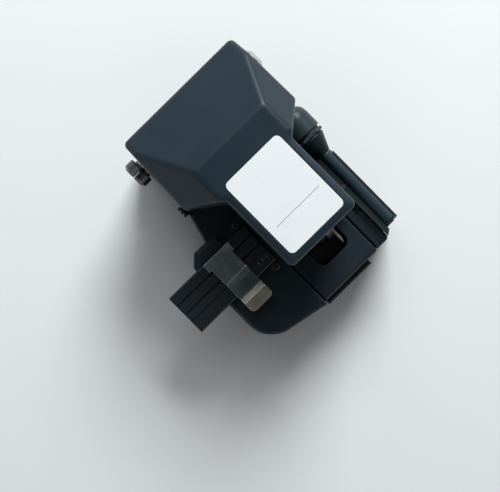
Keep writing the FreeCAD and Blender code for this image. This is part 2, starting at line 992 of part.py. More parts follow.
def blade_nut():
    """Slotted ring nut that holds the blade on its hub."""
    half = blade_thickness / 2
    slot = nut_slot / 2
    profile = [
        (half, blade_bore_radius + shaft_gap),
        (half, nut_radius),
        (half + hub_sleeve_end - 0.1, nut_radius),
        (half + hub_sleeve_end, nut_radius - 0.1),
        (half + hub_sleeve_end, blade_bore_radius + shaft_gap),
    ]
    shape = turned(profile, Vector(blade_plane_x, blade_rest_y, blade_z), X, Z)
    x = blade_plane_x
    y = blade_rest_y
    near = nut_radius - nut_slot_depth
    far = 2 * nut_radius
    tools = [
        box(x, x + far, y - slot, y + slot, blade_z + near, blade_z + far),
        box(x, x + far, y - slot, y + slot, blade_z - far, blade_z - near),
    ]
    return cut(shape, tools)


# ---------------------------------------------------------------- lower clamps
def lower_clamp_left():
    """U-shaped plate that reaches over the slider from the left deck, round the adapter."""
    right = blade_plane_x - clamp_slot_half
    front = fibre_y - clamp_front_reach
    rear = fibre_y + clamp_rear_reach
    shape = prism_z(
        [(clamp_left_arm_x, front), (right, front), (right, rear), (clamp_left_arm_x, rear)],
        [1.0, 0, 0, 1.0],
        deck_z,
        clamp_top_z,
    )
    notch = box(
        clamp_left_arm_x - 1,
        adapter_right_x + 1.0,
        adapter_front_y - 0.5,
        adapter_rear_y + 0.5,
        deck_z - 1,
        clamp_top_z + 1,
    )
    return cut(shape, [notch] + clamp_screw_holes())


def lower_clamp_right():
    """Plate that reaches over the slider from the right block."""
    front = fibre_y - clamp_front_reach
    rear = fibre_y + clamp_rear_reach
    shape = box(
        blade_plane_x + clamp_slot_half, clamp_right_end_x, front, rear, deck_z, clamp_top_z
    )
    return cut(shape, clamp_screw_holes())


def clamp_screw_places():
    """Screws of both lower clamp plates."""
    front = fibre_y - clamp_front_reach + 1.45
    rear = fibre_y + clamp_rear_reach - 1.45
    left = clamp_left_arm_x + 1.9
    right = (trough_right_x + clamp_right_end_x) / 2
    return [(left, front), (left, rear), (right, front), (right, rear)]


def clamp_screw_holes():
    """Holes for those screws."""
    return [
        rod(Z, x, y, deck_z - 1, clamp_screw_radius + shaft_gap, 6)
        for x, y in clamp_screw_places()
    ]


def clamp_screws():
    """Screws with their heads on the plates."""
    top = clamp_top_z + screw_head_height
    length = clamp_plate_thickness + screw_head_height + clamp_screw_depth - shaft_gap
    return [screw(Vector(x, y, top), Z * -1, length) for x, y in clamp_screw_places()]


def pad(x0, x1, z0, z1):
    """Rubber pad under or over the fibre, ends rounded."""
    return prism_x(
        [
            (fibre_y - pad_half_length, z0),
            (fibre_y + pad_half_length, z0),
            (fibre_y + pad_half_length, z1),
            (fibre_y - pad_half_length, z1),
        ],
        None,
        x0,
        x1,
    )


# ---------------------------------------------------------------- lever
def hood_solid(inset):
    """The hood's outer form, or its cavity when inset by the wall."""
    shoulder = lever_shoulder_half - inset
    rear = lever_rear_half - inset
    tongue = tongue_half - inset
    back = inset / 2
    rear += cheek_taper * inset
    bottom = -far if inset else hinge_z - cheek_boss_radius
    points = [
        (hood_middle_x + rear, lever_rear_y - inset),
        (hood_middle_x + shoulder, shoulder_y - back),
        (tongue_middle_x + tongue, neck_y - back),
        (tongue_middle_x + tongue, tongue_tip_y + inset),
        (tongue_middle_x - tongue, tongue_tip_y + inset),
        (tongue_middle_x - tongue, neck_y - back),
        (hood_middle_x - shoulder, shoulder_y - back),
        (hood_middle_x - rear, lever_rear_y - inset),
    ]
    plan = prism_z(points, None, bottom, lever_top_z - inset)
    slope = lever_rear_drop / (lever_rear_y - crest_y)
    drop = inset * math.sqrt(1 + slope * slope)
    reach = far - crest_y
    rear_cut = prism_x(
        [
            (crest_y - drop / slope, lever_top_z),
            (far, lever_top_z - slope * reach - drop),
            (far, lever_top_z),
        ],
        None,
        -far,
        far,
    )
    fall = math.tan(math.radians(side_slope))
    side_drop = inset * math.sqrt(1 + fall * fall)
    side_cuts = []
    for side in (-1, 1):
        crest_x = tongue_middle_x + side * crest_half
        wedge = [
            (crest_x - side * side_drop / fall, lever_top_z),
            (crest_x + side * far, lever_top_z - far * fall - side_drop),
            (crest_x + side * far, lever_top_z),
        ]
        side_cuts.append(prism_y(wedge, None, -far, far))
    return plan.cut([rear_cut] + side_cuts)


def hood_edges(shape):
    """Edges of the hood's outside that are rounded: all but those of its open underside."""
    return [e for e in shape.Edges if e.BoundBox.ZMax > shape.BoundBox.ZMin + 0.5]


def lever_hood():
    """Faceted hood: outer form less its cavity, with shaped skirts and cheek bosses."""
    outer = hood_solid(0)
    outer = outer.makeFillet(hood_round, hood_edges(outer))
    shape = outer.cut(hood_solid(hood_wall))
    cheek_front = hinge_y - cheek_boss_radius - cheek_lead
    cheek_low = hinge_z - cheek_boss_radius
    inner = lever_rear_half - hood_wall
    below = [
        (-far, -far),
        (far, -far),
        (far, cheek_rear_z),
        (lever_rear_y, cheek_rear_z),
        (hinge_y, cheek_low),
        (cheek_front, skirt_z),
        (-far, skirt_z),
    ]
    tools = [
        prism_x(below, None, -far, far),
        box(
            hood_middle_x - inner,
            hood_middle_x + inner,
            hinge_y + rear_notch_inset,
            far,
            cheek_low - 1,
            rear_skirt_z,
        ),
        right_skirt_cut(),
    ]
    shape = cut(shape, tools)
    bosses = [arm_boss(x, y) for x, y in arm_boss_places()]
    shape = fuse([shape] + bosses)
    holes = [
        rod(X, -far, hinge_y, hinge_z, bush_radius + shaft_gap, 2 * far),
        lock_catch(),
    ]
    for x, y in arm_boss_places():
        holes.append(
            rod(Z, x, y, arm_bottom_z, arm_screw_radius + shaft_gap, arm_screw_length)
        )
    return cut(shape, holes)


def right_skirt_cut():
    """Room for the collector's knob below the right shoulder."""
    left = tongue_middle_x + tongue_half + tiny
    rear = knob_rear_y + skirt_run
    low = skirt_z - 1
    outline = [
        (-far, low),
        (rear, low),
        (rear - skirt_slant, skirt_right_z),
        (-far, skirt_right_z),
    ]
    inner_rear = knob_rear_y + skirt_inner_run
    room = box(left - skirt_inner_reach, far, neck_y + root, inner_rear, low, skirt_right_z)
    return prism_x(outline, None, left, far).fuse(room)


def arm_boss_places():
    """Centres of the four bosses that hold the inner arm."""
    x = arm_half - arm_boss_radius
    front = arm_front_y + arm_boss_radius
    rear = arm_rear_y - arm_boss_radius
    return [(tongue_middle_x + s * x, y) for s in (-1, 1) for y in (front, rear)]


def arm_boss(x, y):
    """Boss from the hood's ceiling down to the inner arm."""
    return rod(Z, x, y, arm_top_z, arm_boss_radius, lever_top_z - hood_wall / 2 - arm_top_z)


def lock_catch():
    """Steel catch let into the left cheek, which the lock's hook covers."""
    wall = hood_middle_x - lever_shoulder_half + hood_wall
    y = lock_thumb_front_y + lock_thumb_length + lock_hook_reach + catch_gap
    z = lock_hook_top_z - lock_hook_height - slide_gap
    right = flank_left_x + side_wall + lock_plate_inset + lock_plate
    return box(wall - catch_seat, right, y, y + catch_length, skirt_z, z)


def hinge_bushes():
    """Flanged bushes in the hood's cheeks."""
    bushes = []
    for side in (-1, 1):
        face = hood_middle_x + side * hinge_half
        outer = face + side * bush_stand
        inner = face - side * (hood_wall - root)
        low = min(outer, inner)
        shape = rod(X, low, hinge_y, hinge_z, bush_radius, abs(outer - inner))
        bore = rod(X, -far, hinge_y, hinge_z, axle_radius + running_gap, 2 * far)
        bushes.append(shape.cut(bore))
    return bushes


def clamp_arm():
    """Metal arm inside the hood: a block over the fibre and two plates back to the axle."""
    left = tongue_middle_x - arm_half
    right = tongue_middle_x + arm_half
    block = box(left, right, arm_front_y, arm_rear_y, arm_bottom_z, arm_top_z)
    pocket = prism_z(
        [
            (left + arm_pocket_inset, arm_rear_y - arm_pocket_depth),
            (right - arm_pocket_inset, arm_rear_y - arm_pocket_depth),
            (right - arm_pocket_inset, arm_rear_y + 1),
            (left + arm_pocket_inset, arm_rear_y + 1),
        ],
        [arm_pocket_round, arm_pocket_round, 0, 0],
        arm_bottom_z - 1,
        arm_top_z + 1,
    )
    pieces = [block.cut(pocket)]
    for low in (left, right - arm_plate):
        plate = prism_x(
            [
                (arm_rear_y - 1, arm_bottom_z),
                (arm_rear_y + 1, arm_bottom_z),
                (hinge_y, hinge_z - eye_radius),
                (hinge_y, hinge_z + eye_radius),
                (hinge_y - arm_tie_back, arm_top_z),
                (arm_rear_y - 1, arm_top_z),
            ],
            [0, 0, 0, 0, eye_radius, 0],
            low,
            low + arm_plate,
        )
        eye = rod(X, low, hinge_y, hinge_z, eye_radius, arm_plate)
        pieces += [plate, eye]
    tie_z = arm_bottom_z + arm_tie_rise
    tie = rod(X, left, hinge_y - arm_tie_back, tie_z, arm_tie_radius, 2 * arm_half)
    shape = fuse(pieces + [tie])
    tools = [rod(X, -far, hinge_y, hinge_z, axle_radius + running_gap, 2 * far)]
    for x, y in jaw_pin_places() + [anvil_place()]:
        tools.append(rod(Z, x, y, 0, jaw_pin_radius + running_gap, far))
    for x, y in arm_boss_places():
        tools.append(rod(Z, x, y, 0, arm_screw_radius + shaft_gap, far))
    return cut(shape, tools)


def arm_screws():
    """Screws up through the arm into the hood's bosses."""
    return [
        screw(Vector(x, y, arm_bottom_z - screw_head_height), Z, arm_screw_length)
        for x, y in arm_boss_places()
    ]


def left_jaw_span():
    """X range of the left jaw, over the left lower pad."""
    return left_pad_right_x - pad_width_left, left_pad_right_x


def right_jaw_span():
    """X range of the right jaw, over the right lower pad."""
    return right_pad_left_x, right_pad_left_x + pad_width_right


def jaw_pin_places():
    """Guide pins of both jaws."""
    spots = []
    for low, high in (left_jaw_span(), right_jaw_span()):
        for side in (-1, 1):
            spots.append(((low + high) / 2, fibre_y + side * jaw_pin_spacing / 2))
    return spots


def anvil_place():
    """Guide pin of the anvil."""
    return (blade_plane_x, fibre_y)


def guide_pin(x, y, bottom):
    """Pin that runs through the arm and hangs on it by its head."""
    head_z = arm_top_z + 0.05
    stem = rod(Z, x, y, bottom, jaw_pin_radius, head_z + 0.1 - bottom)
    head = rod(Z, x, y, head_z, jaw_head_radius, jaw_head_height)
    return [stem, head]


def upper_jaw(span):
    """Jaw block with two guide pins; its underside takes the rubber pad."""
    low, high = span
    top = jaw_z + jaw_height
    block = prism_x(
        [
            (fibre_y - pad_half_length, jaw_z),
            (fibre_y + pad_half_length, jaw_z),
            (fibre_y + jaw_half_length, jaw_z + 1.6),
            (fibre_y + jaw_half_length, top),
            (fibre_y - jaw_half_length, top),
            (fibre_y - jaw_half_length, jaw_z + 1.6),
        ],
        None,
        low,
        high,
    )
    pieces = [block]
    for side in (-1, 1):
        pieces += guide_pin((low + high) / 2, fibre_y + side * jaw_pin_spacing / 2, top - 1)
    return fuse(pieces)


def jaw_springs(span):
    """Springs between a jaw and the arm, one on each guide pin."""
    low, high = span
    return [
        pin_spring((low + high) / 2, fibre_y + side * jaw_pin_spacing / 2, jaw_z + jaw_height)
        for side in (-1, 1)
    ]


def pin_spring(x, y, seat_z):
    """Short spring round a guide pin, from a seat up to the arm."""
    wire = 0.22
    length = arm_bottom_z - seat_z - 2 * wire - 0.1
    return coil(
        Vector(x, y, seat_z + wire + 0.05), Z, jaw_pin_radius + wire + 0.2, wire, length / 3, 3
    )


def anvil():
    """Narrow anvil that bends the scored fibre, with its guide pin."""
    bottom = fibre_z + anvil_gap + anvil_tip_thickness
    half = anvil_width / 2
    top = bottom + anvil_height
    blade_side = prism_x(
        [
            (fibre_y - 1.6, bottom),
            (fibre_y + 1.6, bottom),
            (fibre_y + anvil_half_length, bottom + 2.4),
            (fibre_y + anvil_half_length, top),
            (fibre_y - anvil_half_length, top),
            (fibre_y - anvil_half_length, bottom + 2.4),
        ],
        None,
        blade_plane_x - half,
        blade_plane_x + half,
    )
    return fuse([blade_side] + guide_pin(*anvil_place(), top - 1))


def anvil_tip():
    """Rubber tip under the anvil, with a rounded nose."""
    bottom = fibre_z + anvil_gap
    top = bottom + anvil_tip_thickness
    return prism_x(
        [(fibre_y - 1.6, top), (fibre_y - 1.3, bottom), (fibre_y + 1.3, bottom),
         (fibre_y + 1.6, top)],
        [0, 0.3, 0.3, 0],
        blade_plane_x - anvil_width / 2 + 0.2,
        blade_plane_x + anvil_width / 2 - 0.2,
    )


def anvil_spring():
    """Spring on the anvil's pin."""
    seat = fibre_z + anvil_gap + anvil_tip_thickness + anvil_height
    return pin_spring(*anvil_place(), seat)


# ---------------------------------------------------------------- hinge
def hinge_axle():
    """Axle through the body's lugs, the arm's eyes and the cheeks' bushes."""
    length = right_seat_x - left_seat_x
    return rod(X, left_seat_x, hinge_y, hinge_z, axle_radius, length)


def pivot_screw_left():
    """Large slotted head with a neck that bears on the left cheek's bush."""
    seat = left_head_width + left_neck_length
    profile = [
        (0, 0),
        (0, left_head_radius - left_head_slant),
        (left_head_slant * 0.8, left_head_radius),
        (left_head_width - 0.3, left_head_radius),
        (left_head_width, left_head_radius - 0.3),
        (left_head_width, left_neck_radius),
        (seat, left_neck_radius),
        (seat, 0),
    ]
    shape = turned(profile, Vector(left_head_x, hinge_y, hinge_z), X, Z)
    half = left_slot_width / 2
    slot = box(
        left_head_x - 1,
        left_head_x + left_slot_depth,
        hinge_y - half,
        hinge_y + half,
        hinge_z - 2 * left_head_radius,
        hinge_z + 2 * left_head_radius,
    )
    return cut(shape, [slot])


def pivot_screw_right():
    """Low domed head on the right end of the axle, with a hexagon recess."""
    profile = [
        (0, 0),
        (0, right_head_radius),
        (right_head_width * 0.55, right_head_radius),
        (right_head_width, right_head_radius - 1.1),
        (right_head_width, 0),
    ]
    shape = turned(profile, Vector(right_seat_x, hinge_y, hinge_z), X, Z)
    points = []
    for i in range(6):
        angle = math.radians(60 * i)
        points.append((hinge_y + 1.6 * math.cos(angle), hinge_z + 1.6 * math.sin(angle)))
    recess = prism_x(points, None, right_head_x - 1.0, right_head_x + 1)
    return cut(shape, [recess])


def torsion_spring():
    """Spring round the axle, with one leg on the block and one under the arm's tie."""
    width = torsion_pitch * torsion_turns
    left = tongue_middle_x - width / 2
    spring = coil(
        Vector(left, hinge_y, hinge_z), X, torsion_radius, torsion_wire, torsion_pitch,
        torsion_turns,
    )
    return spring


# ---------------------------------------------------------------- lever lock
def lock_slot():
    """Window in the left wall for the lock's neck, and the pocket for its plate."""
    wall_in = flank_left_x + side_wall
    plate_right = lock_plate_span()[1] + slide_gap
    front = lock_thumb_front_y - slide_gap
    rear = lock_thumb_front_y + lock_thumb_length + lock_travel + slide_gap
    neck = box(-far, wall_in, front, rear, lock_neck_z - slide_gap, far)
    pocket = box(wall_in, plate_right, front - 1, rear + 1, lock_thumb_z - slide_gap, far)
    relief = box(-far, plate_right, front - 1, far, shelf_z, far)
    return neck.fuse([pocket, relief])


def lock_plate_span():
    """Left and right face of the plate that runs inside the wall."""
    left = flank_left_x + side_wall + lock_plate_inset
    return left, left + lock_plate


def lever_lock():
    """Ribbed thumb piece, neck through the wall, and the plate inside it."""
    front = lock_thumb_front_y
    rear = front + lock_thumb_length
    plate_left, plate_right = lock_plate_span()
    rib_left = lock_thumb_x + lock_rib_height
    thumb_top_z = lock_thumb_z + lock_thumb_height
    thumb = box(rib_left, flank_left_x - slide_gap, front, rear, lock_thumb_z, thumb_top_z)
    ribs = []
    pitch = lock_thumb_length / (2 * lock_rib_count - 1)
    for i in range(lock_rib_count):
        y = front + 2 * i * pitch
        ribs.append(
            box(
                lock_thumb_x,
                rib_left + root,
                y,
                y + pitch,
                lock_thumb_z + lock_rib_margin,
                thumb_top_z - lock_rib_margin,
            )
        )
    neck = box(
        flank_left_x - slide_gap - root,
        plate_left + root,
        front,
        rear,
        lock_neck_z,
        lock_neck_z + lock_neck_height,
    )
    hook_z = lock_hook_top_z - lock_hook_height
    plate = box(plate_left, plate_right, front, rear, lock_thumb_z, hook_z)
    return fuse([thumb, neck, plate] + ribs)


def lock_hook():
    """Steel hook on top of the lock's plate, reaching back over the catch."""
    plate_left, plate_right = lock_plate_span()
    front = lock_thumb_front_y
    rear = front + lock_thumb_length + lock_hook_reach
    low = lock_hook_top_z - lock_hook_height
    return box(plate_left, plate_right, front, rear, low, lock_hook_top_z)


# ---------------------------------------------------------------- fibre adapter and lid
def fibre_adapter():
    """Grooved plate that carries the coated fibre, its outer end raised and bevelled."""
    line_y = fibre_y + adapter_line
    outline = [
        (adapter_front_y, adapter_bottom_z),
        (adapter_rear_y, adapter_bottom_z),
        (adapter_rear_y, adapter_top_z - 0.4),
        (adapter_rear_y - 0.4, adapter_top_z),
        (line_y + 0.3, adapter_top_z),
        (line_y, adapter_top_z - adapter_line_depth),
        (line_y - 0.3, adapter_top_z),
        (fibre_y + adapter_groove_half, adapter_top_z),
        (fibre_y, adapter_top_z - adapter_groove_half),
        (fibre_y - adapter_groove_half, adapter_top_z),
        (adapter_front_y + 0.4, adapter_top_z),
        (adapter_front_y, adapter_top_z - 0.4),
    ]
    shape = prism_y_along_x(outline, adapter_left_x, adapter_right_x)
    end = wing_left_x - 1.2
    under = box(
        adapter_left_x - 1,
        end,
        adapter_front_y - 1,
        adapter_rear_y + 1,
        adapter_bottom_z - 1,
        adapter_bottom_z + adapter_end_lift,
    )
    half = lid_half_width - slide_gap
    rib_radius = lid_eye_radius - 0.05
    left = lid_centre_x - half
    base = box(
        left,
        left + 2 * half,
        lid_pin_y() - rib_radius,
        lid_pin_y() + rib_radius,
        adapter_top_z - 0.5,
        lid_pin_z(),
    )
    barrel = rod(X, left, lid_pin_y(), lid_pin_z(), rib_radius, 2 * half)
    shape = fuse([cut(shape, [under]), base, barrel])
    tools = [
        lid_pin_rod(shaft_gap),
        rod(
            Z,
            lid_centre_x,
            adapter_front_y + magnet_radius + 0.6,
            adapter_top_z - 0.8,
            magnet_radius + shaft_gap,
            5,
        ),
    ]
    return cut(shape, tools)


def prism_y_along_x(points, x0, x1):
    """Outline in Y, Z with sharp corners carried along X."""
    return prism_x(points, None, x0, x1)


def lid_pin_z():
    """Height of the lid's hinge pin."""
    return adapter_top_z + lid_eye_radius + 0.03


def lid_pin_y():
    """Y of the lid's hinge pin."""
    return lid_rear_y - lid_eye_radius + 0.1


def lid_pin_rod(gap):
    """The lid's hinge pin, or its bore."""
    half = lid_half_width + lid_ear_width
    return rod(
        X,
        lid_centre_x - half,
        lid_pin_y(),
        lid_pin_z(),
        lid_pin_radius + gap,
        2 * half,
    )


def lid_magnet():
    """Magnet in the adapter's front edge that holds the lid down."""
    y = adapter_front_y + magnet_radius + 0.6
    return rod(Z, lid_centre_x, y, adapter_top_z - 0.8, magnet_radius, magnet_height)


def adapter_lid():
    """Bent spring-steel lid: flat, a step, a second flat and a raised finger tab."""
    top = adapter_top_z + lid_rise
    step = top - 0.35
    tab = step + lid_tab_rise
    upper = [
        (lid_rear_y, top),
        (lid_step_y + 0.3, top),
        (lid_step_y - 0.3, step),
        (lid_bend_y, step),
        (lid_tab_y, tab),
        (lid_tip_y, tab + 0.2),
    ]
    lower = [(y, z - lid_sheet) for y, z in reversed(upper)]
    sheet = prism_x(
        upper + lower, None, lid_centre_x - lid_half_width, lid_centre_x + lid_half_width
    )
    corner = 1.5
    trim = prism_z(
        [
            (lid_centre_x - lid_half_width, lid_tip_y),
            (lid_centre_x + lid_half_width, lid_tip_y),
            (lid_centre_x + lid_half_width, lid_rear_y),
            (lid_centre_x - lid_half_width, lid_rear_y),
        ],
        [corner, corner, 0, 0],
        0,
        60,
    )
    pieces = [sheet.common(trim)]
    for side in (-1, 1):
        inner = lid_centre_x + side * (lid_half_width - 0.01)
        outer = lid_centre_x + side * (lid_half_width + lid_ear_width)
        low, high = min(inner, outer), max(inner, outer)
        ear = prism_x(
            [
                (lid_rear_y, top),
                (lid_rear_y - lid_ear_length, top),
                (lid_rear_y - lid_ear_length, top - lid_sheet),
                (lid_pin_y() - lid_eye_radius * 0.8, lid_pin_z() - lid_eye_radius * 0.6),
                (lid_pin_y() + lid_eye_radius * 0.8, lid_pin_z() - lid_eye_radius * 0.6),
                (lid_rear_y, top - lid_sheet),
            ],
            None,
            low,
            high,
        )
        eye = rod(X, low, lid_pin_y(), lid_pin_z(), lid_eye_radius, high - low)
        pieces += [ear, eye]
    shape = fuse(pieces)
    return cut(shape, [lid_pin_rod(running_gap)])


def lid_pad():
    """Rubber pad under the lid that presses the fibre in its groove."""
    top = adapter_top_z + lid_rise - lid_sheet
    half = lid_half_width - 1.2
    return box(
        lid_centre_x - half,
        lid_centre_x + half,
        fibre_y - 1.5,
        fibre_y + 1.5,
        top - lid_pad_thickness,
        top,
    )


# ---------------------------------------------------------------- scrap collector
def collector_case():
    """Open-ended case that the bin slides in, with ears for the lower roller and the arm."""
    shape = box(case_left_x, case_right_x, case_front_y, case_rear_y, floor_z, case_top_z)
    inner = box(
        case_left_x + case_wall,
        case_right_x - case_wall,
        case_front_y - 1,
        case_rear_y - case_wall,
        floor_z + case_wall,
        case_top_z - case_wall,
    )
    slot = box(
        roller_x - roller_radius,
        case_right_x - case_wall,
        roller_front_y,
        roller_rear_y,
        case_top_z - case_wall - root,
        case_top_z + 1,
    )
    ear_half = roller_radius - roller_end_gap
    ears = []
    for y in (roller_front_y - roller_ear - strip_gap, roller_rear_y + roller_end_gap):
        ears.append(
            box(
                roller_x - ear_half,
                roller_x + ear_half,
                y,
                y + roller_ear,
                case_top_z - root,
                roller_low_z + spindle_radius + ear_rim,
            )
        )
    pin_ears = []
    for low in (arm_lug_left - slide_gap - arm_ear, arm_lug_left + arm_lug_width + slide_gap):
        pin_ears.append(
            box(
                low,
                low + arm_ear,
                case_rear_y - 1.5,
                arm_pin_y() + 1.2,
                case_top_z - 1.2,
                arm_pin_z + 1.1,
            )
        )
    shape = fuse([cut(shape, [inner, slot])] + ears + pin_ears)
    tools = [
        rod(Y, roller_x, -far, roller_low_z, spindle_radius + running_gap, 2 * far),
        rod(X, case_left_x, arm_pin_y(), arm_pin_z, arm_pin_radius + shaft_gap, far),
    ]
    return cut(shape, tools)


def arm_pin_y():
    """Y of the roller arm's hinge pin."""
    return bearing_plate_y + bearing_plate / 2


def scrap_bin():
    """Drawer for fibre scraps, open at the top, its front panel with a finger groove."""
    left = case_left_x + case_wall + bin_gap
    right = case_right_x - case_wall - bin_gap
    bottom = floor_z + case_wall + bin_gap
    top = case_top_z - case_wall - bin_gap - bin_headroom
    front = case_front_y - bin_gap
    rear = case_rear_y - case_wall - bin_gap
    shape = box(left, right, front, rear, bottom, top)
    inner = box(
        left + bin_wall,
        right - bin_wall,
        front + bin_wall,
        rear - bin_wall,
        bottom + bin_wall,
        far,
    )
    panel = prism_y(
        [
            (left - bin_lip, bottom - bin_lip),
            (right + bin_lip, bottom - bin_lip),
            (right + bin_lip, top + bin_lip),
            (left - bin_lip, top + bin_lip),
        ],
        [edge_round] * 4,
        front - bin_wall,
        front + tiny,
    )
    groove = rod(
        X,
        left + bin_grip_inset,
        front - bin_wall - bin_grip_radius / 2,
        (bottom + top) / 2,
        bin_grip_radius,
        right - left - 2 * bin_grip_inset,
    )
    return cut(fuse([shape.cut(inner), panel]), [groove])


def cover_strip():
    """Strip between the body and the roller, its front end on the slanted corner's line."""
    rear = cone_front_y - strip_gap
    underside = strip_top_z - strip_thickness
    points = [
        (strip_left_x, front_bevel_y(strip_left_x)),
        (strip_right_x, front_bevel_y(strip_right_x)),
        (strip_right_x, rear),
        (strip_left_x, rear),
    ]
    shape = prism_z(points, None, underside, strip_top_z)
    foot = box(
        strip_left_x, strip_left_x + strip_foot, case_front_y, rear, case_top_z, underside + root
    )
    x, y = cover_screw_place()
    hole = rod(Z, x, y, 0, cover_screw_radius + shaft_gap, far)
    return cut(fuse([shape, foot]), [hole])


def cover_screw_place():
    """Centre of the strip's screw."""
    return ((strip_left_x + strip_right_x) / 2, cover_screw_y)


def cover_screw():
    """Tiny slotted screw, its head on the strip."""
    x, y = cover_screw_place()
    head_top_z = strip_top_z + cover_screw_head
    bottom = strip_top_z - cover_screw_length
    head = rod(Z, x, y, strip_top_z, cover_screw_head_radius, cover_screw_head)
    shank = rod(Z, x, y, bottom, cover_screw_radius, head_top_z - bottom)
    half = cover_screw_slot / 2
    slot = box(x - 1, x + 1, y - half, y + half, strip_top_z + cover_screw_head / 2, far)
    return head.fuse(shank).cut(slot).removeSplitter()


def lower_roller():
    """Rubber sleeve of the lower roller."""
    length = roller_rear_y - roller_front_y
    shape = rod(Y, roller_x, roller_front_y, roller_low_z, roller_radius, length)
    bore = rod(Y, roller_x, -far, roller_low_z, spindle_radius + shaft_gap, 2 * far)
    return shape.cut(bore)


def lower_spindle():
    """Steel shaft of the lower roller."""
    start = roller_front_y - spindle_end
    length = roller_rear_y + spindle_end - start
    return rod(Y, roller_x, start, roller_low_z, spindle_radius, length)


def upper_roller():
    """Rubber sleeve of the upper roller."""
    length = roller_rear_y - roller_front_y
    shape = rod(Y, roller_x, roller_front_y, roller_high_z, roller_radius, length)
    bore = rod(Y, roller_x, -far, roller_high_z, spindle_radius + shaft_gap, 2 * far)
    return shape.cut(bore)


def upper_spindle():
    """Shaft of the upper roller, with the cone in front of the bearing plate."""
    start = roller_front_y - spindle_end
    collar = roller_radius * 0.94
    profile = [
        (start, 0),
        (start, spindle_radius),
        (roller_rear_y + 0.05, spindle_radius),
        (roller_rear_y + 0.05, collar),
        (cone_front_y, cone_front_radius),
        (cone_rear_y, cone_rear_radius),
        (cone_rear_y, spindle_radius + 0.5),
        (bearing_plate_y + bearing_plate + 0.3, spindle_radius + 0.5),
        (bearing_plate_y + bearing_plate + 0.3, spindle_radius),
        (knob_front_y + 4.0, spindle_radius),
        (knob_front_y + 4.0, 0),
    ]
    return turned(profile, Vector(roller_x, 0, roller_high_z), Y, X)


def roller_knob():
    """Fluted knob behind the bearing plate: a drum with a domed rear end."""
    steps = 4
    profile = [(knob_front_y, 0), (knob_front_y, knob_radius)]
    dome_start = knob_rear_y - knob_dome
    for i in range(steps + 1):
        angle = math.radians(90 * i / steps)
        reach = knob_dome * math.sin(angle)
        radius = knob_radius - 2.0 * (1 - math.cos(angle))
        profile.append((dome_start + reach, radius))
    profile.append((knob_rear_y, 0))
    shape = turned(profile, Vector(roller_x, 0, roller_high_z), Y, X)
    bore = rod(Y, roller_x, knob_front_y - 1, roller_high_z, spindle_radius + shaft_gap, 5.1)
    return cut(shape, [bore])


def roller_arm():
    """Bracket of the upper roller: rear bearing plate, low bar beside the roller, front ear."""
    bar_right = case_right_x - 0.05
    bar_left = bar_right - arm_bar
    low = arm_pin_z - 1.0
    lug_top = roller_high_z - cone_rear_radius
    rear = bearing_plate_y + bearing_plate
    plate = prism_y(
        [
            (roller_x - bearing_plate_half, roller_high_z - 3.0),
            (arm_lug_left, lug_top),
            (arm_lug_left, low),
            (arm_lug_left + arm_lug_width, low),
            (arm_lug_left + arm_lug_width, lug_top),
            (bar_left, lug_top),
            (bar_left, low),
            (bar_right, low),
            (bar_right, lug_top),
            (roller_x + bearing_plate_half, roller_high_z - 3.0),
            (roller_x + bearing_plate_half, roller_high_z + 3.4),
            (roller_x + 2.6, roller_high_z + bearing_plate_half),
            (roller_x - 2.6, roller_high_z + bearing_plate_half),
            (roller_x - bearing_plate_half, roller_high_z + 3.4),
        ],
        None,
        bearing_plate_y,
        rear,
    )
    clear_y = cone_front_y - 1.6
    bar = prism_x(
        [
            (rear, low),
            (rear, roller_high_z - cone_rear_radius - 0.5),
            (clear_y + 1.0, roller_high_z - cone_rear_radius - 0.5),
            (clear_y, roller_high_z + 0.4),
            (roller_front_y - spindle_end, roller_high_z + 0.4),
            (roller_front_y - spindle_end, roller_low_z - 0.6),
            (clear_y - 1.0, roller_low_z - 0.6),
            (clear_y - 1.0, low),
        ],
        None,
        bar_left,
        bar_right,
    )
    ear = prism_y(
        [
            (roller_x - 1.4, roller_high_z - 1.3),
            (bar_right, roller_high_z - 1.3),
            (bar_right, roller_high_z + 0.6),
            (roller_x + 1.0, roller_high_z + 1.5),
            (roller_x - 1.4, roller_high_z + 1.5),
        ],
        [0.6, 0, 0.4, 0.4, 0.6],
        roller_front_y - spindle_end,
        roller_front_y - strip_gap,
    )
    eye = rod(X, arm_lug_left, arm_pin_y(), arm_pin_z, arm_eye_radius, arm_lug_width)
    shape = fuse([plate, bar, ear, eye])
    tools = [
        rod(Y, roller_x, roller_front_y - 2, roller_high_z, spindle_radius + running_gap, 3),
        rod(Y, roller_x, bearing_plate_y - 1, roller_high_z,
            spindle_radius + 0.5 + running_gap, 4),
        rod(X, case_left_x, arm_pin_y(), arm_pin_z, arm_pin_radius + running_gap, 20),
    ]
    return cut(shape, tools)


def roller_arm_pin():
    """Hinge pin of the roller arm, held in the case's ears."""
    left = arm_lug_left - slide_gap - arm_ear
    return rod(X, left, arm_pin_y(), arm_pin_z, arm_pin_radius, case_right_x - left + 0.3)


# ---------------------------------------------------------------- every node
save("body", body())
save("floor_plate", floor_plate())
save("floor_screws", floor_screws())
save("rubber_feet", rubber_feet())
save("guide_rail", guide_rail())
save("rail_carriage", rail_carriage())
save("slider_block", slider_block())
save("push_knob", push_knob())
save("knob_screws", knob_screws())
save("slider_springs", slider_springs())
save("blade_bracket", blade_bracket())
save("bracket_screws", bracket_screws())
save("blade", blade())
save("blade_hub", blade_hub())
save("blade_nut", blade_nut())
save("lower_clamp_left", lower_clamp_left())
save("lower_clamp_right", lower_clamp_right())
save("clamp_screws", clamp_screws())
save("lower_pad_left", pad(*left_jaw_span(), clamp_top_z, pad_top_z))
save("lower_pad_right", pad(*right_jaw_span(), clamp_top_z, pad_top_z))
save("lever_hood", lever_hood())
save("lock_catch", lock_catch())
save("hinge_bushes", hinge_bushes())
save("clamp_arm", clamp_arm())
save("arm_screws", arm_screws())
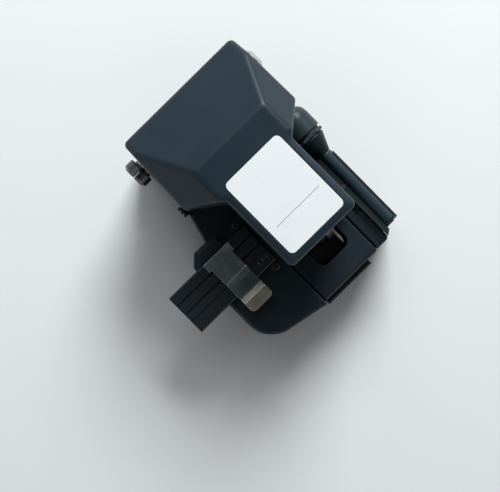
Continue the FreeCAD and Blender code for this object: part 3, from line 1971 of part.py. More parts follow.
save("upper_jaw_left", upper_jaw(left_jaw_span()))
save("upper_pad_left", pad(*left_jaw_span(), jaw_pad_z, jaw_z))
save("jaw_springs_left", jaw_springs(left_jaw_span()))
save("upper_jaw_right", upper_jaw(right_jaw_span()))
save("upper_pad_right", pad(*right_jaw_span(), jaw_pad_z, jaw_z))
save("jaw_springs_right", jaw_springs(right_jaw_span()))
save("anvil", anvil())
save("anvil_tip", anvil_tip())
save("anvil_spring", anvil_spring())
save("hinge_axle", hinge_axle())
save("pivot_screw_left", pivot_screw_left())
save("pivot_screw_right", pivot_screw_right())
save("torsion_spring", torsion_spring())
save("lever_lock", lever_lock())
save("lock_hook", lock_hook())
save("fibre_adapter", fibre_adapter())
save("lid_magnet", lid_magnet())
save("lid_pin", lid_pin_rod(0))
save("adapter_lid", adapter_lid())
save("lid_pad", lid_pad())
save("collector_case", collector_case())
save("scrap_bin", scrap_bin())
save("cover_strip", cover_strip())
save("cover_screw", cover_screw())
save("lower_roller", lower_roller())
save("lower_spindle", lower_spindle())
save("upper_roller", upper_roller())
save("upper_spindle", upper_spindle())
save("roller_knob", roller_knob())
save("roller_arm", roller_arm())
save("roller_arm_pin", roller_arm_pin())
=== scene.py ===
import math
import bmesh
import bpy
import numpy as np
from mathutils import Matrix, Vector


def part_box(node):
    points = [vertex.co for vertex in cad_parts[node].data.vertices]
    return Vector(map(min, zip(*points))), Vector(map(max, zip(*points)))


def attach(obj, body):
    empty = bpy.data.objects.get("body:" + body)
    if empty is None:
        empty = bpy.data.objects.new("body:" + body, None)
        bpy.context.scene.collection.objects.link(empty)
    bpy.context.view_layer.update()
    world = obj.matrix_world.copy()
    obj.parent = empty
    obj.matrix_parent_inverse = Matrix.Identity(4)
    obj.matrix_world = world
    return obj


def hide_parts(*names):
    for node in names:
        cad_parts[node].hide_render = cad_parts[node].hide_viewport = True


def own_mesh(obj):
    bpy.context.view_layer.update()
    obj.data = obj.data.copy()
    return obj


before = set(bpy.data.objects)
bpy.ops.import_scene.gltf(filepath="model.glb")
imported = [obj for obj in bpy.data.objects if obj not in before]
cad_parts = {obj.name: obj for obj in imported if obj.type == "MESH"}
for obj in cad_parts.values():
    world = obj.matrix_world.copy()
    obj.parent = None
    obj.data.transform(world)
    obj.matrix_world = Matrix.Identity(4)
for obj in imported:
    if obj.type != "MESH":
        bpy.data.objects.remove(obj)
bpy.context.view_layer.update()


# ---- Floor plate ----
# Pressed steel plate under the whole tool, painted black before it is screwed on.
# The paint has a fine orange-peel skin and is rubbed thin along the rim.
def principled(material):
    """The material's Principled shader."""
    return material.node_tree.nodes["Principled BSDF"]


def new_material(name, colour, roughness, metallic=0.0, specular=0.5):
    """Material with one Principled shader, whose uniform values sit on its own sockets."""
    material = bpy.data.materials.new(name)
    material.use_nodes = True
    shader = principled(material)
    shader.inputs["Base Color"].default_value = (*colour, 1)
    shader.inputs["Roughness"].default_value = roughness
    shader.inputs["Metallic"].default_value = metallic
    shader.inputs["Specular IOR Level"].default_value = specular
    return material


def add_node(material, kind, inputs, **settings):
    """Adds a node, with its settings, and links each input to a socket or gives it a value."""
    tree = material.node_tree
    node = tree.nodes.new("ShaderNode" + kind)
    for key, value in settings.items():
        setattr(node, key, value)
    for key, value in inputs.items():
        if isinstance(value, bpy.types.NodeSocket):
            tree.links.new(value, node.inputs[key])
        else:
            node.inputs[key].default_value = value
    return node


def drive(material, name, socket):
    """Links a socket to an input of the material's Principled shader."""
    material.node_tree.links.new(socket, principled(material).inputs[name])


def noise(material, scale, detail=2.0, stretch=(1, 1, 1)):
    """Noise in the piece's own metres, its grains 1 / scale across before the stretch."""
    coords = add_node(material, "TexCoord", {}).outputs["Object"]
    mapped = add_node(material, "Mapping", {"Vector": coords, "Scale": stretch}).outputs[0]
    inputs = {"Vector": mapped, "Scale": scale, "Detail": detail}
    return add_node(material, "TexNoise", inputs).outputs["Fac"]


def between(material, value, low, high, start=0.35, end=0.65):
    """Value drawn out so that start gives low and end gives high, flat outside them.

    The usual start and end are those of noise, which seldom leaves them.
    """
    inputs = {"Value": value, "From Min": start, "From Max": end, "To Min": low, "To Max": high}
    return add_node(material, "MapRange", inputs).outputs[0]


def mixed(material, share, first, second):
    """Colour from first to second by share; each is a colour or a socket."""
    colours = [c if isinstance(c, bpy.types.NodeSocket) else (*c, 1) for c in (first, second)]
    inputs = {0: share, 6: colours[0], 7: colours[1]}
    return add_node(material, "Mix", inputs, data_type="RGBA").outputs[2]


def relief(material, height, depth, under=None):
    """Normal bumped by height times depth, in metres, on top of the normal under it."""
    inputs = {"Height": height, "Distance": depth, "Strength": 1.0}
    if under is not None:
        inputs["Normal"] = under
    return add_node(material, "Bump", inputs).outputs[0]


def product(material, first, second):
    """First times second."""
    return add_node(material, "Math", {0: first, 1: second}, operation="MULTIPLY").outputs[0]


def edge_share(material, radius, start, end):
    """1 along sharp edges and 0 on open faces: how far a bevelled normal leaves the plain one.

    The normals' cosine reaches 0 share at end and full share at start.
    """
    bevel = add_node(material, "Bevel", {"Radius": radius}, samples=6).outputs[0]
    plain = add_node(material, "NewGeometry", {}).outputs["Normal"]
    cosine = add_node(material, "VectorMath", {0: bevel, 1: plain}, operation="DOT_PRODUCT")
    return between(material, cosine.outputs["Value"], 1.0, 0.0, start, end)


def painted(name, colour, worn, grain, depth, rough):
    """Even skin of fine bumps, cloudy gloss, and edges rubbed towards the worn colour."""
    material = new_material(name, colour, rough[0])
    clouds = noise(material, scale=70.0, detail=4.0)
    edges = edge_share(material, radius=0.0005, start=0.86, end=0.985)
    patches = between(material, noise(material, scale=900.0, detail=3.0), low=0.0, high=1.0)
    rubbed = product(material, edges, patches)
    tone = mixed(material, between(material, clouds, low=0.0, high=0.35), colour, worn)
    drive(material, "Base Color", mixed(material, rubbed, tone, worn))
    drive(material, "Roughness", between(material, clouds, rough[0], rough[1]))
    fine = relief(material, noise(material, grain), depth)
    broad = noise(material, scale=grain * 0.2, detail=1.0)
    drive(material, "Normal", relief(material, broad, depth, fine))
    return material


def dress(material, *nodes):
    """Gives CAD nodes their material."""
    for node in nodes:
        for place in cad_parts[node].material_slots:
            place.material = material


dress(painted("plate_paint", colour=(0.014, 0.020, 0.025), worn=(0.05, 0.055, 0.06),
              grain=2500.0, depth=4e-6, rough=(0.38, 0.5)),
      "floor_plate")


# ---- Body, case and lever hood ----
# Injection-moulded black plastic with a fine spark-eroded skin, which shows as soft dull sheen.
# Handling has polished the edges a little and left faint greasy clouds on the open faces; the
# edges also carry a painted highlight.
def moulded(name, colour, sheen, grain, depth, rough, rounding=0.0008):
    """Spark-eroded skin at two sizes, finger clouds in gloss and tone, edges polished and with a
    painted highlight.

    The normal turns over each edge as on a corner rounded by rounding, and the open faces
    have a slow waviness as the mould's do.
    """
    edge_highlight_tone, edge_polish = 2.6, 0.16
    wave_scale, wave_depth = 45.0, 6e-5
    material = new_material(name, colour, rough[0], specular=0.24)
    clouds = noise(material, scale=38.0, detail=5.0)
    streaks = noise(material, scale=120.0, detail=3.0, stretch=(1, 0.25, 1))
    edges = edge_share(material, radius=0.0007, start=0.90, end=0.995)
    patches = between(material, noise(material, scale=500.0, detail=4.0), low=0.3, high=0.9)
    rubbed = product(material, edges, patches)
    tone = mixed(material, between(material, clouds, low=0.0, high=0.5), colour, sheen)
    smear = between(material, streaks, low=0.0, high=0.18, start=0.5, end=0.8)
    tone = mixed(material, smear, tone, sheen)
    # Painted highlight as well as wear: the rubbed edges are lightened far past the sheen
    # colour.
    burnished_and_highlit = [channel * edge_highlight_tone for channel in sheen]
    drive(material, "Base Color", mixed(material, rubbed, tone, burnished_and_highlit))
    gloss = between(material, clouds, rough[0], rough[1])
    polish = product(material, rubbed, -edge_polish)
    drive(material, "Roughness", add_node(material, "Math", {0: gloss, 1: polish}).outputs[0])
    soft = add_node(material, "Bevel", {"Radius": rounding}, samples=8).outputs[0]
    fine = relief(material, noise(material, grain, detail=1.5), depth, soft)
    broad = relief(material, noise(material, grain * 0.3), depth * 1.4, fine)
    waves = noise(material, wave_scale, detail=1.0)
    drive(material, "Normal", relief(material, waves, wave_depth, broad))
    return material


dress(moulded("hood_plastic", colour=(0.0115, 0.0225, 0.0320), sheen=(0.0170, 0.0320, 0.0450),
              grain=5200.0, depth=5e-6, rough=(0.33, 0.45), rounding=0.0020),
      "lever_hood")
dress(moulded("case_plastic", colour=(0.0090, 0.0180, 0.0250), sheen=(0.0145, 0.0270, 0.0370),
              grain=5200.0, depth=5e-6, rough=(0.42, 0.54)),
      "body", "collector_case")
dress(moulded("slider_plastic", colour=(0.0085, 0.0155, 0.0220), sheen=(0.0135, 0.0235, 0.0320),
              grain=6500.0, depth=3.5e-6, rough=(0.38, 0.5)),
      "slider_block", "push_knob", "scrap_bin", "lever_lock")


# ---- Rubber feet and pads ----
# Moulded rubber feet under the floor plate, and the ground rubber pads and anvil tip that
# grip the fibre, pressed into their metal holders. All are dull and dusty.
def rubber(name, colour, dust, grain, depth):
    """Dull mottled rubber whose open faces carry a little pale dust."""
    material = new_material(name, colour, roughness=0.8)
    specks = noise(material, scale=1500.0, detail=5.0)
    dusty = between(material, specks, low=0.0, high=0.6, start=0.55, end=0.75)
    drive(material, "Base Color", mixed(material, dusty, colour, dust))
    clouds = noise(material, scale=90.0, detail=3.0)
    drive(material, "Roughness", between(material, clouds, low=0.68, high=0.86))
    drive(material, "Normal", relief(material, noise(material, grain, detail=3.0), depth))
    return material


dress(rubber("foot_rubber", colour=(0.016, 0.016, 0.017), dust=(0.08, 0.078, 0.074),
             grain=1800.0, depth=1.2e-5),
      "rubber_feet")
dress(rubber("pad_rubber", colour=(0.03, 0.03, 0.032), dust=(0.07, 0.07, 0.068),
             grain=5000.0, depth=3e-6),
      "lower_pad_left", "lower_pad_right", "upper_pad_left", "upper_pad_right", "anvil_tip",
      "lid_pad")


# ---- Rail, carriage, springs and hinge axle ----
# Ground and drawn steel: fine scratches run along the direction of the grinding or drawing.
# The carriage, the floor plate's screws and the lock's catch and hook are blackened in hot oil.
def brushed(name, colour, dark, along, scratch, rough, depth=1.5e-6):
    """Metal with scratches drawn out by the stretch along, and slow changes of gloss."""
    material = new_material(name, colour, rough[0], metallic=1.0)
    lines = noise(material, scratch, detail=3.0, stretch=along)
    stains = noise(material, scale=110.0, detail=4.0)
    tone = mixed(material, between(material, lines, low=0.0, high=0.55), colour, dark)
    stained = between(material, stains, low=0.0, high=0.4)
    drive(material, "Base Color", mixed(material, stained, tone, dark))
    drive(material, "Roughness", between(material, lines, rough[0], rough[1], 0.3, 0.7))
    drive(material, "Normal", relief(material, lines, depth))
    return material


drawn_out = 0.02
along_x = (drawn_out, 1, 1)
along_y = (1, drawn_out, 1)
along_z = (1, 1, drawn_out)
even = (1, 1, 1)
dress(brushed("ground_steel", colour=(0.5, 0.5, 0.51), dark=(0.3, 0.3, 0.31),
              along=along_y, scratch=4000.0, rough=(0.25, 0.4)),
      "guide_rail", "lower_spindle")
dress(brushed("axle_steel", colour=(0.5, 0.5, 0.51), dark=(0.3, 0.3, 0.31),
              along=along_x, scratch=4000.0, rough=(0.22, 0.38)),
      "hinge_axle", "roller_arm_pin", "lid_pin")
spring_wire = brushed("spring_wire", colour=(0.42, 0.42, 0.43), dark=(0.22, 0.22, 0.23),
                      along=even, scratch=2500.0, rough=(0.28, 0.45))
dress(spring_wire, "slider_springs", "torsion_spring", "jaw_springs_left", "jaw_springs_right",
      "anvil_spring")
dress(brushed("oxide_steel", colour=(0.075, 0.075, 0.08), dark=(0.04, 0.04, 0.043),
              along=even, scratch=1800.0, rough=(0.32, 0.5)),
      "rail_carriage", "floor_screws", "lock_catch", "lock_hook")


# ---- Blade, hub and nut ----
# Hard metal wheel between a steel hub and a clamping nut, ground round its own centre,
# so the scratches are rings about the axis. Its outer edge, polished by lapping, is painted pale
# and less metallic, a painted highlight.
def axis_radius(material, centre):
    """Distance from an axis along X through centre, in metres."""
    coords = add_node(material, "TexCoord", {}).outputs["Object"]
    moved = add_node(material, "VectorMath", {0: coords, 1: centre}, operation="SUBTRACT")
    flat = add_node(material, "VectorMath", {0: moved.outputs[0], 1: (0, 1, 1)},
                    operation="MULTIPLY")
    return add_node(material, "VectorMath", {0: flat.outputs[0]},
                    operation="LENGTH").outputs["Value"]


def ring_ground(name, colour, dark, centre, pitch, rough):
    """Metal with rings about an axis along X through centre: noise read at the radius alone."""
    material = new_material(name, colour, rough[0], metallic=1.0)
    inputs = {"W": axis_radius(material, centre), "Scale": 1.0 / pitch, "Detail": 3.0}
    rings = add_node(material, "TexNoise", inputs, noise_dimensions="1D").outputs["Fac"]
    stains = between(material, noise(material, scale=160.0, detail=4.0), low=0.0, high=0.45)
    tone = mixed(material, between(material, rings, low=0.0, high=0.7), colour, dark)
    drive(material, "Base Color", mixed(material, stains, tone, dark))
    drive(material, "Roughness", between(material, rings, rough[0], rough[1]))
    drive(material, "Normal", relief(material, rings, depth=1.5e-6))
    return material


def driven_by(material, name):
    """The socket that drives an input of the material's Principled shader."""
    return principled(material).inputs[name].links[0].from_socket


lapped_width = 0.0009
lapped_fade = 0.00015
rim_highlight_colour = (0.74, 0.75, 0.74)
blade_low, blade_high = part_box("blade")
blade_centre = [(low + high) / 2 for low, high in zip(blade_low, blade_high)]
lapped_start = (blade_high[2] - blade_low[2]) / 2 - lapped_width
blade_metal = ring_ground("blade_metal", colour=(0.45, 0.45, 0.46), dark=(0.28, 0.28, 0.29),
                          centre=blade_centre, pitch=1.6e-4, rough=(0.2, 0.36))
# Painted highlight: the blade's outer edge gets a pale colour and less metal, so it shows as a
# bright line.
rim_highlight_share = between(blade_metal, axis_radius(blade_metal, blade_centre), 0.0, 1.0, lapped_start,
                 lapped_start + lapped_fade)
drive(blade_metal, "Base Color",
      mixed(blade_metal, rim_highlight_share, driven_by(blade_metal, "Base Color"), rim_highlight_colour))
drive(blade_metal, "Metallic", between(blade_metal, rim_highlight_share, 1.0, 0.25, 0.0, 1.0))
dress(blade_metal, "blade")
dress(ring_ground("hub_steel", colour=(0.4, 0.4, 0.41), dark=(0.22, 0.22, 0.23),
                  centre=blade_centre, pitch=3e-4, rough=(0.28, 0.42)),
      "blade_hub", "blade_nut")


# ---- Clamp plates, arm, jaws and anvil ----
# Milled aluminium, black anodised: cutter lines show faintly, and corners wear to bare metal.
# The anvil between the jaws is plain ground steel and slides in the arm.
def anodised(name, colour, bare, along, rough):
    """Dyed oxide over cutter lines along the stretch, with bare metal showing on edges."""
    pale_tone = 1.7
    material = new_material(name, colour, rough[0], metallic=0.35)
    lines = noise(material, scale=2600.0, stretch=along)
    clouds = noise(material, scale=60.0, detail=4.0)
    edges = edge_share(material, radius=0.00025, start=0.80, end=0.97)
    chips = noise(material, scale=1400.0, detail=4.0)
    chipped = between(material, chips, low=0.0, high=0.8, start=0.5, end=0.7)
    tone = mixed(material, between(material, clouds, low=0.0, high=0.45), colour,
                 [channel * pale_tone for channel in colour])
    drive(material, "Base Color", mixed(material, product(material, edges, chipped), tone, bare))
    drive(material, "Roughness", between(material, lines, rough[0], rough[1]))
    drive(material, "Normal", relief(material, lines, depth=2e-6))
    return material


dress(anodised("anodised_plates", colour=(0.010, 0.014, 0.018), bare=(0.25, 0.25, 0.26),
               along=along_x, rough=(0.36, 0.5)),
      "lower_clamp_left", "lower_clamp_right", "blade_bracket")
dress(anodised("anodised_arm", colour=(0.012, 0.016, 0.020), bare=(0.25, 0.25, 0.26),
               along=along_y, rough=(0.38, 0.52)),
      "clamp_arm", "upper_jaw_left", "upper_jaw_right")
dress(brushed("anvil_steel", colour=(0.52, 0.52, 0.53), dark=(0.34, 0.34, 0.35),
              along=along_z, scratch=3500.0, rough=(0.22, 0.36)),
      "anvil")


# ---- Cap screws ----
# Black oxide cap screws of the clamp plates, push knob and arm: a lightly knurled head
# with a hexagon socket, turned over a plain shank.
head_radius = 0.00125
head_height = 0.00085
shank_radius = 0.00078
socket_half = 0.00062


def skin(name, rings):
    """Closed surface over a stack of rings of points: quads between rings, a cap at each end."""
    count, around = rings.shape[:2]
    step = np.arange(around)
    after = (step + 1) % around
    start = np.arange(count - 1)[:, None] * around
    quads = np.stack([start + step, start + after, start + around + after,
                      start + around + step], axis=-1).reshape(-1, 4)
    faces = quads.tolist() + [step[::-1].tolist(), (step + (count - 1) * around).tolist()]
    mesh = bpy.data.meshes.new(name)
    mesh.from_pydata(rings.reshape(-1, 3).tolist(), [], faces)
    shell = bmesh.new()
    shell.from_mesh(mesh)
    bmesh.ops.recalc_face_normals(shell, faces=shell.faces)
    shell.to_mesh(mesh)
    shell.free()
    piece = bpy.data.objects.new(name, mesh)
    bpy.context.collection.objects.link(piece)
    return piece


def screw_rings(length, centre, axis):
    """Rings of a cap screw along axis 1 or 2, its head's outer face at centre.

    The radius is the head's, lightly waved round it, then the hexagon's: the flat's distance
    over the cosine of the angle from the middle of the flat.
    """
    knurl_waves, knurl_depth = 24, 0.022
    chamfer = head_height * 0.16
    turn = np.linspace(0, 2 * np.pi, 3 * knurl_waves, endpoint=False)
    flat = (turn + np.pi / 6) % (np.pi / 3) - np.pi / 6
    hexagon = socket_half / np.cos(flat)
    knurl = head_radius * (1 - knurl_depth * (np.sin(turn * knurl_waves) > 0))
    level = np.ones_like(turn)
    profile = [(length, level * shank_radius), (head_height, level * shank_radius),
               (head_height, level * head_radius * 0.94), (head_height - chamfer, knurl),
               (chamfer, knurl), (0, level * (head_radius - chamfer * 1.3)),
               (0, hexagon * 1.06), (chamfer * 0.5, hexagon),
               (head_height * 0.75, hexagon * 0.97)]
    across = np.stack([radius for depth, radius in profile])
    along = np.stack([level * depth for depth, radius in profile])
    if axis == 2:
        local = [across * np.cos(turn), across * np.sin(turn), -along]
    else:
        local = [across * np.cos(turn), along, across * np.sin(turn)]
    return np.stack(local, axis=-1) + np.array(centre)


def joined(name, pieces):
    """One object from several."""
    if len(pieces) == 1:
        return pieces[0]
    with bpy.context.temp_override(active_object=pieces[0], selected_editable_objects=pieces):
        bpy.ops.object.join()
    pieces[0].name = name
    return pieces[0]


def cap_screws(name, node, body, places, axis, length):
    """Detailed cap screws in place of the CAD node's plain ones."""
    piece = joined(name, [skin(name, screw_rings(length, place, axis)) for place in places])
    piece.data.materials.append(screw_steel)
    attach(piece, body)
    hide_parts(node)


screw_steel = brushed("screw_steel", colour=(0.07, 0.07, 0.076), dark=(0.035, 0.035, 0.038),
                      along=even, scratch=2200.0, rough=(0.34, 0.48))
low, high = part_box("clamp_screws")
corners = [(x, y, high[2]) for x in (low[0] + head_radius, high[0] - head_radius)
           for y in (low[1] + head_radius, high[1] - head_radius)]
cap_screws("clamp_cap_screws", "clamp_screws", "base", corners, axis=2, length=high[2] - low[2])
low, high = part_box("knob_screws")
ends = [(x, low[1], (low[2] + high[2]) / 2)
        for x in (low[0] + head_radius, high[0] - head_radius)]
cap_screws("knob_cap_screws", "knob_screws", "slider", ends, axis=1, length=high[1] - low[1])
dress(screw_steel, "arm_screws", "bracket_screws")


# ---- Compression springs ----
# Round wire wound with closed end coils, two behind the slider and one on each guide pin.
# Each shortens against its fixed end as its slider, jaw or anvil moves; here each is drawn at
# one length.
return_width, return_wire, return_travel = 0.0051, 0.00035, 0.016
pin_width, pin_wire, pin_travel = 0.00293, 0.00022, 0.0008


def coil_rings(low, high, axis, wire, turns):
    """Rings round a wire wound on a helix along axis, from low to high, corners in metres.

    The wire's middle is at R (cos a, sin a) across the axis. It climbs one wire's width in the
    first and last turn and evenly between. Each ring is wire (cos b, sin b), in R and the axis.
    """
    steps_per_turn, wire_sides = 28, 10
    first, second = [i for i in range(3) if i != axis]
    reach = (high[first] - low[first]) / 2 - wire
    angle = np.linspace(0, 2 * np.pi * turns, steps_per_turn * turns + 1)
    around = np.linspace(0, 2 * np.pi, wire_sides, endpoint=False)
    top = high[axis] - low[axis] - 2 * wire
    climb = np.interp(angle / (2 * np.pi), [0, 1, turns - 1, turns],
                      [0, 2 * wire, top - 2 * wire, top])
    out = reach + wire * np.cos(around)
    rings = np.zeros((len(angle), len(around), 3))
    rings[..., first] = (low[first] + high[first]) / 2 + np.cos(angle)[:, None] * out
    rings[..., second] = (low[second] + high[second]) / 2 + np.sin(angle)[:, None] * out
    rings[..., axis] = low[axis] + wire + climb[:, None] + wire * np.sin(around)
    return rings


def compression_springs(name, node, body, boxes, axis, wire, turns):
    """Springs in place of a CAD node's, wound from the low to the high end of each box."""
    piece = joined(name, [skin(name, coil_rings(low, high, axis, wire, turns))
                          for low, high in boxes])
    piece.data.materials.append(spring_wire)
    piece.data.shade_smooth()
    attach(piece, body)
    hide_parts(node)
    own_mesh(piece)


def spring_boxes(node, across, width):
    """The boxes of the springs at both ends of a node's box along the axis across."""
    low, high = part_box(node)
    return [([start if i == across else low[i] for i in range(3)],
             [start + width if i == across else high[i] for i in range(3)])
            for start in (round(low[across], 6), round(high[across] - width, 6))]


compression_springs("return_springs", "slider_springs", "base",
                    spring_boxes("slider_springs", across=0, width=return_width), axis=1,
                    wire=return_wire, turns=8)
for side in ("left", "right"):
    node = "jaw_springs_" + side
    compression_springs("jaw_coils_" + side, node, "lever",
                        spring_boxes(node, across=1, width=pin_width), axis=2,
                        wire=pin_wire, turns=5)
compression_springs("anvil_coil", "anvil_spring", "lever",
                    [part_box("anvil_spring")], axis=2,
                    wire=pin_wire, turns=3)


# ---- Hinge screws and bushes ----
# Deep-slotted nickelled steel head on the left, domed socket head on the right,
# with turned brass bushes in the hood's cheeks.
low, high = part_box("pivot_screw_left")
hinge_centre = [(a + b) / 2 for a, b in zip(low, high)]
dress(ring_ground("pivot_nickel", colour=(0.15, 0.155, 0.15), dark=(0.06, 0.065, 0.06),
                  centre=hinge_centre, pitch=4e-4, rough=(0.2, 0.36)),
      "pivot_screw_left")
dress(ring_ground("pivot_bright", colour=(0.62, 0.61, 0.59), dark=(0.4, 0.39, 0.38),
                  centre=hinge_centre, pitch=5e-4, rough=(0.14, 0.26)),
      "pivot_screw_right")
dress(brushed("bush_brass", colour=(0.62, 0.46, 0.2), dark=(0.4, 0.28, 0.12),
              along=even, scratch=1500.0, rough=(0.28, 0.42)),
      "hinge_bushes")


# ---- Fibre adapter ----
# Black anodised block with milled grooves and a scored line, short white scale ticks printed
# beside the groove for the length of stripped fibre, and a nickelled magnet that holds the lid.
def own_place(material):
    """The piece's own X, Y and Z, in metres."""
    coords = add_node(material, "TexCoord", {}).outputs["Object"]
    return add_node(material, "SeparateXYZ", {"Vector": coords}).outputs


def within(material, value, start, end, fade=0.00005):
    """1 where value lies from start to end, with soft edges as wide as fade."""
    rise = between(material, value, 0.0, 1.0, start, start + fade)
    fall = between(material, value, 1.0, 0.0, end, end + fade)
    return product(material, rise, fall)


def on_line(material, value, middle, half):
    """1 where value lies within half of middle."""
    return add_node(material, "Math", {0: value, 1: middle, 2: half},
                    operation="COMPARE").outputs[0]


tick_pitch, tick_half, tick_fade = 0.0008, 0.00005, 0.00004
tick_white = (0.55, 0.56, 0.56)
low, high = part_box("fibre_adapter")
tick_columns = (high[0] - 0.0061, high[0] - 0.0012)
tick_rows = (low[1] + 0.0022, low[1] + 0.0033)
score_y, score_half, score_depth = low[1] + 0.0045, 0.00017, 1.5e-4
score_shade = (0.002, 0.003, 0.004)
adapter = anodised("anodised_adapter", colour=(0.0110, 0.0165, 0.0210), bare=(0.2, 0.2, 0.21),
                   along=along_x, rough=(0.34, 0.48))
place = own_place(adapter)
nearest = add_node(adapter, "Math", {0: place["X"], 1: tick_pitch}, operation="PINGPONG")
ticks = between(adapter, nearest.outputs[0], 1.0, 0.0, tick_half, tick_half + tick_fade)
band = product(adapter, within(adapter, place["X"], *tick_columns),
               within(adapter, place["Y"], *tick_rows))
worn_ink = between(adapter, noise(adapter, scale=3500.0, detail=3.0), 0.25, 0.85, 0.3, 0.6)
ink = product(adapter, product(adapter, ticks, band), worn_ink)
# Painted shade: the scored line is painted near black as well as sunk.
scored = on_line(adapter, place["Y"], score_y, score_half)
tone = mixed(adapter, scored, driven_by(adapter, "Base Color"), score_shade)
drive(adapter, "Base Color", mixed(adapter, ink, tone, tick_white))
drive(adapter, "Normal", relief(adapter, scored, -score_depth, driven_by(adapter, "Normal")))
dress(adapter, "fibre_adapter")
dress(brushed("magnet_nickel", colour=(0.6, 0.6, 0.6), dark=(0.45, 0.45, 0.45),
              along=even, scratch=900.0, rough=(0.12, 0.2)),
      "lid_magnet")


# ---- Sprung lid ----
# Rolled spring steel folded in three steps over the fibre. The rolling lines run along it,
# the flats are smeared, and the end that the thumb lifts is painted beige, a painted reflection.
lid_pale, lid_dark = (0.30, 0.33, 0.33), (0.13, 0.16, 0.16)
lid_slope_shade = (0.13, 0.17, 0.17)
tab_reflection_pale, tab_reflection_dark = (0.52, 0.50, 0.38), (0.34, 0.33, 0.25)
scuff_pale, lid_edge_highlight = (0.46, 0.46, 0.42), (0.72, 0.74, 0.72)
lid_edge_radius = 0.00022
low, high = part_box("adapter_lid")
thumb_start, thumb_end = low[1] + 0.0036, low[1] + 0.0062
step_start, step_end = high[1] - 0.0112, high[1] - 0.0108
lid = new_material("lid_steel", (0.25, 0.27, 0.27), roughness=0.3, metallic=1.0)
place = own_place(lid)
rolled = noise(lid, scale=3000.0, detail=3.0, stretch=along_y)
smears = noise(lid, scale=220.0, detail=5.0, stretch=(1, 0.5, 1))
scuffs = noise(lid, scale=700.0, detail=4.0, stretch=(0.15, 1, 1))
scuffed = between(lid, scuffs, low=0.0, high=0.5, start=0.58, end=0.72)
tone = mixed(lid, between(lid, smears, low=0.0, high=1.0), lid_pale, lid_dark)
# Painted shade: all of the lid in front of the step is darkened.
slope_shade_share = between(lid, place["Y"], 1.0, 0.0, step_start, step_end)
tone = mixed(lid, slope_shade_share, tone, lid_slope_shade)
# Painted reflection: the lifted end is tinted beige.
tab_reflection_share = between(lid, place["Y"], 1.0, 0.0, thumb_start, thumb_end)
tone = mixed(lid, tab_reflection_share, tone, mixed(lid, smears, tab_reflection_pale, tab_reflection_dark))
tone = mixed(lid, scuffed, tone, scuff_pale)
# Painted highlight: the lid's edges are painted near white.
edges = edge_share(lid, lid_edge_radius, start=0.80, end=0.97)
drive(lid, "Base Color", mixed(lid, edges, tone, lid_edge_highlight))
drive(lid, "Roughness", between(lid, smears, low=0.24, high=0.42))
rounded = add_node(lid, "Bevel", {"Radius": lid_edge_radius}, samples=8).outputs[0]
drive(lid, "Normal", relief(lid, smears, 2e-5, relief(lid, rolled, 1.5e-6, rounded)))
dress(lid, "adapter_lid")


# ---- Fibre collector ----
# Smooth sleeved rollers on a black steel arm beside the case, with a turned dark grey knob to
# feed scraps by hand, a black cone that keeps them off the bearing, and a painted cover strip.
dress(moulded("roller_sleeve", colour=(0.019, 0.034, 0.042), sheen=(0.030, 0.052, 0.062),
              grain=2600.0, depth=4e-6, rough=(0.24, 0.34)),
      "upper_roller", "lower_roller")
dress(moulded("cone_plastic", colour=(0.0045, 0.010, 0.011), sheen=(0.009, 0.018, 0.020),
              grain=6000.0, depth=3e-6, rough=(0.3, 0.42)),
      "upper_spindle")
dress(moulded("knob_plastic", colour=(0.020, 0.034, 0.039), sheen=(0.032, 0.052, 0.058),
              grain=4200.0, depth=5e-6, rough=(0.34, 0.46)),
      "roller_knob")
dress(brushed("arm_plate_steel", colour=(0.10, 0.12, 0.125), dark=(0.05, 0.065, 0.07),
              along=along_x, scratch=3000.0, rough=(0.3, 0.45)),
      "roller_arm")
dress(painted("strip_paint", colour=(0.075, 0.125, 0.125), worn=(0.10, 0.15, 0.15),
              grain=2500.0, depth=4e-6, rough=(0.34, 0.46)),
      "cover_strip")
dress(brushed("cover_screw_steel", colour=(0.4, 0.4, 0.4), dark=(0.25, 0.25, 0.25),
              along=even, scratch=2000.0, rough=(0.22, 0.35)),
      "cover_screw")


# ---- Bearing washers ----
# Black turned washers slipped over the upper roller's spindle, one on each side of the arm's
# bearing plate, where they fill the slots between the plate, the knob and the cone.
def disc_rings(centre, radius, front, rear):
    """Two circles radius (cos a, sin a) about an axis along Y, at the front and the rear."""
    turn = np.linspace(0, 2 * np.pi, 64, endpoint=False)
    x = centre[0] + radius * np.cos(turn)
    z = centre[1] + radius * np.sin(turn)
    return np.stack([np.stack([x, np.full(len(turn), y), z], axis=-1) for y in (front, rear)])


spindle_axis = (0.0298, 0.02875)
front_radius, front_span = 0.0042, (0.00183, 0.00217)
rear_radius, rear_span = 0.0043, (0.00313, 0.00397)
washers = joined("bearing_washers", [
    skin("bearing_washers", disc_rings(spindle_axis, front_radius, *front_span)),
    skin("bearing_washers", disc_rings(spindle_axis, rear_radius, *rear_span))])
washers.data.materials.append(new_material("washer_black", (0.006, 0.009, 0.010), 0.6))
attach(washers, "upper_roller_unit")


# ---- Label ----
# Bare white vinyl sticker with rounded corners on the hood's level top, held by its own
# adhesive, with one thin printed rule.
def rounded_ring(half_x, half_y, radius, centre, height):
    """Ring round a rounded rectangle: each quarter circle is centred radius in from a corner."""
    quarter = np.linspace(0, np.pi / 2, 9)
    turn = np.concatenate([quarter + i * np.pi / 2 for i in range(4)])
    side_x = np.repeat([1, -1, -1, 1], len(quarter))
    side_y = np.repeat([1, 1, -1, -1], len(quarter))
    x = centre[0] + side_x * (half_x - radius) + radius * np.cos(turn)
    y = centre[1] + side_y * (half_y - radius) + radius * np.sin(turn)
    return np.stack([x, y, np.full(len(turn), height)], axis=-1)


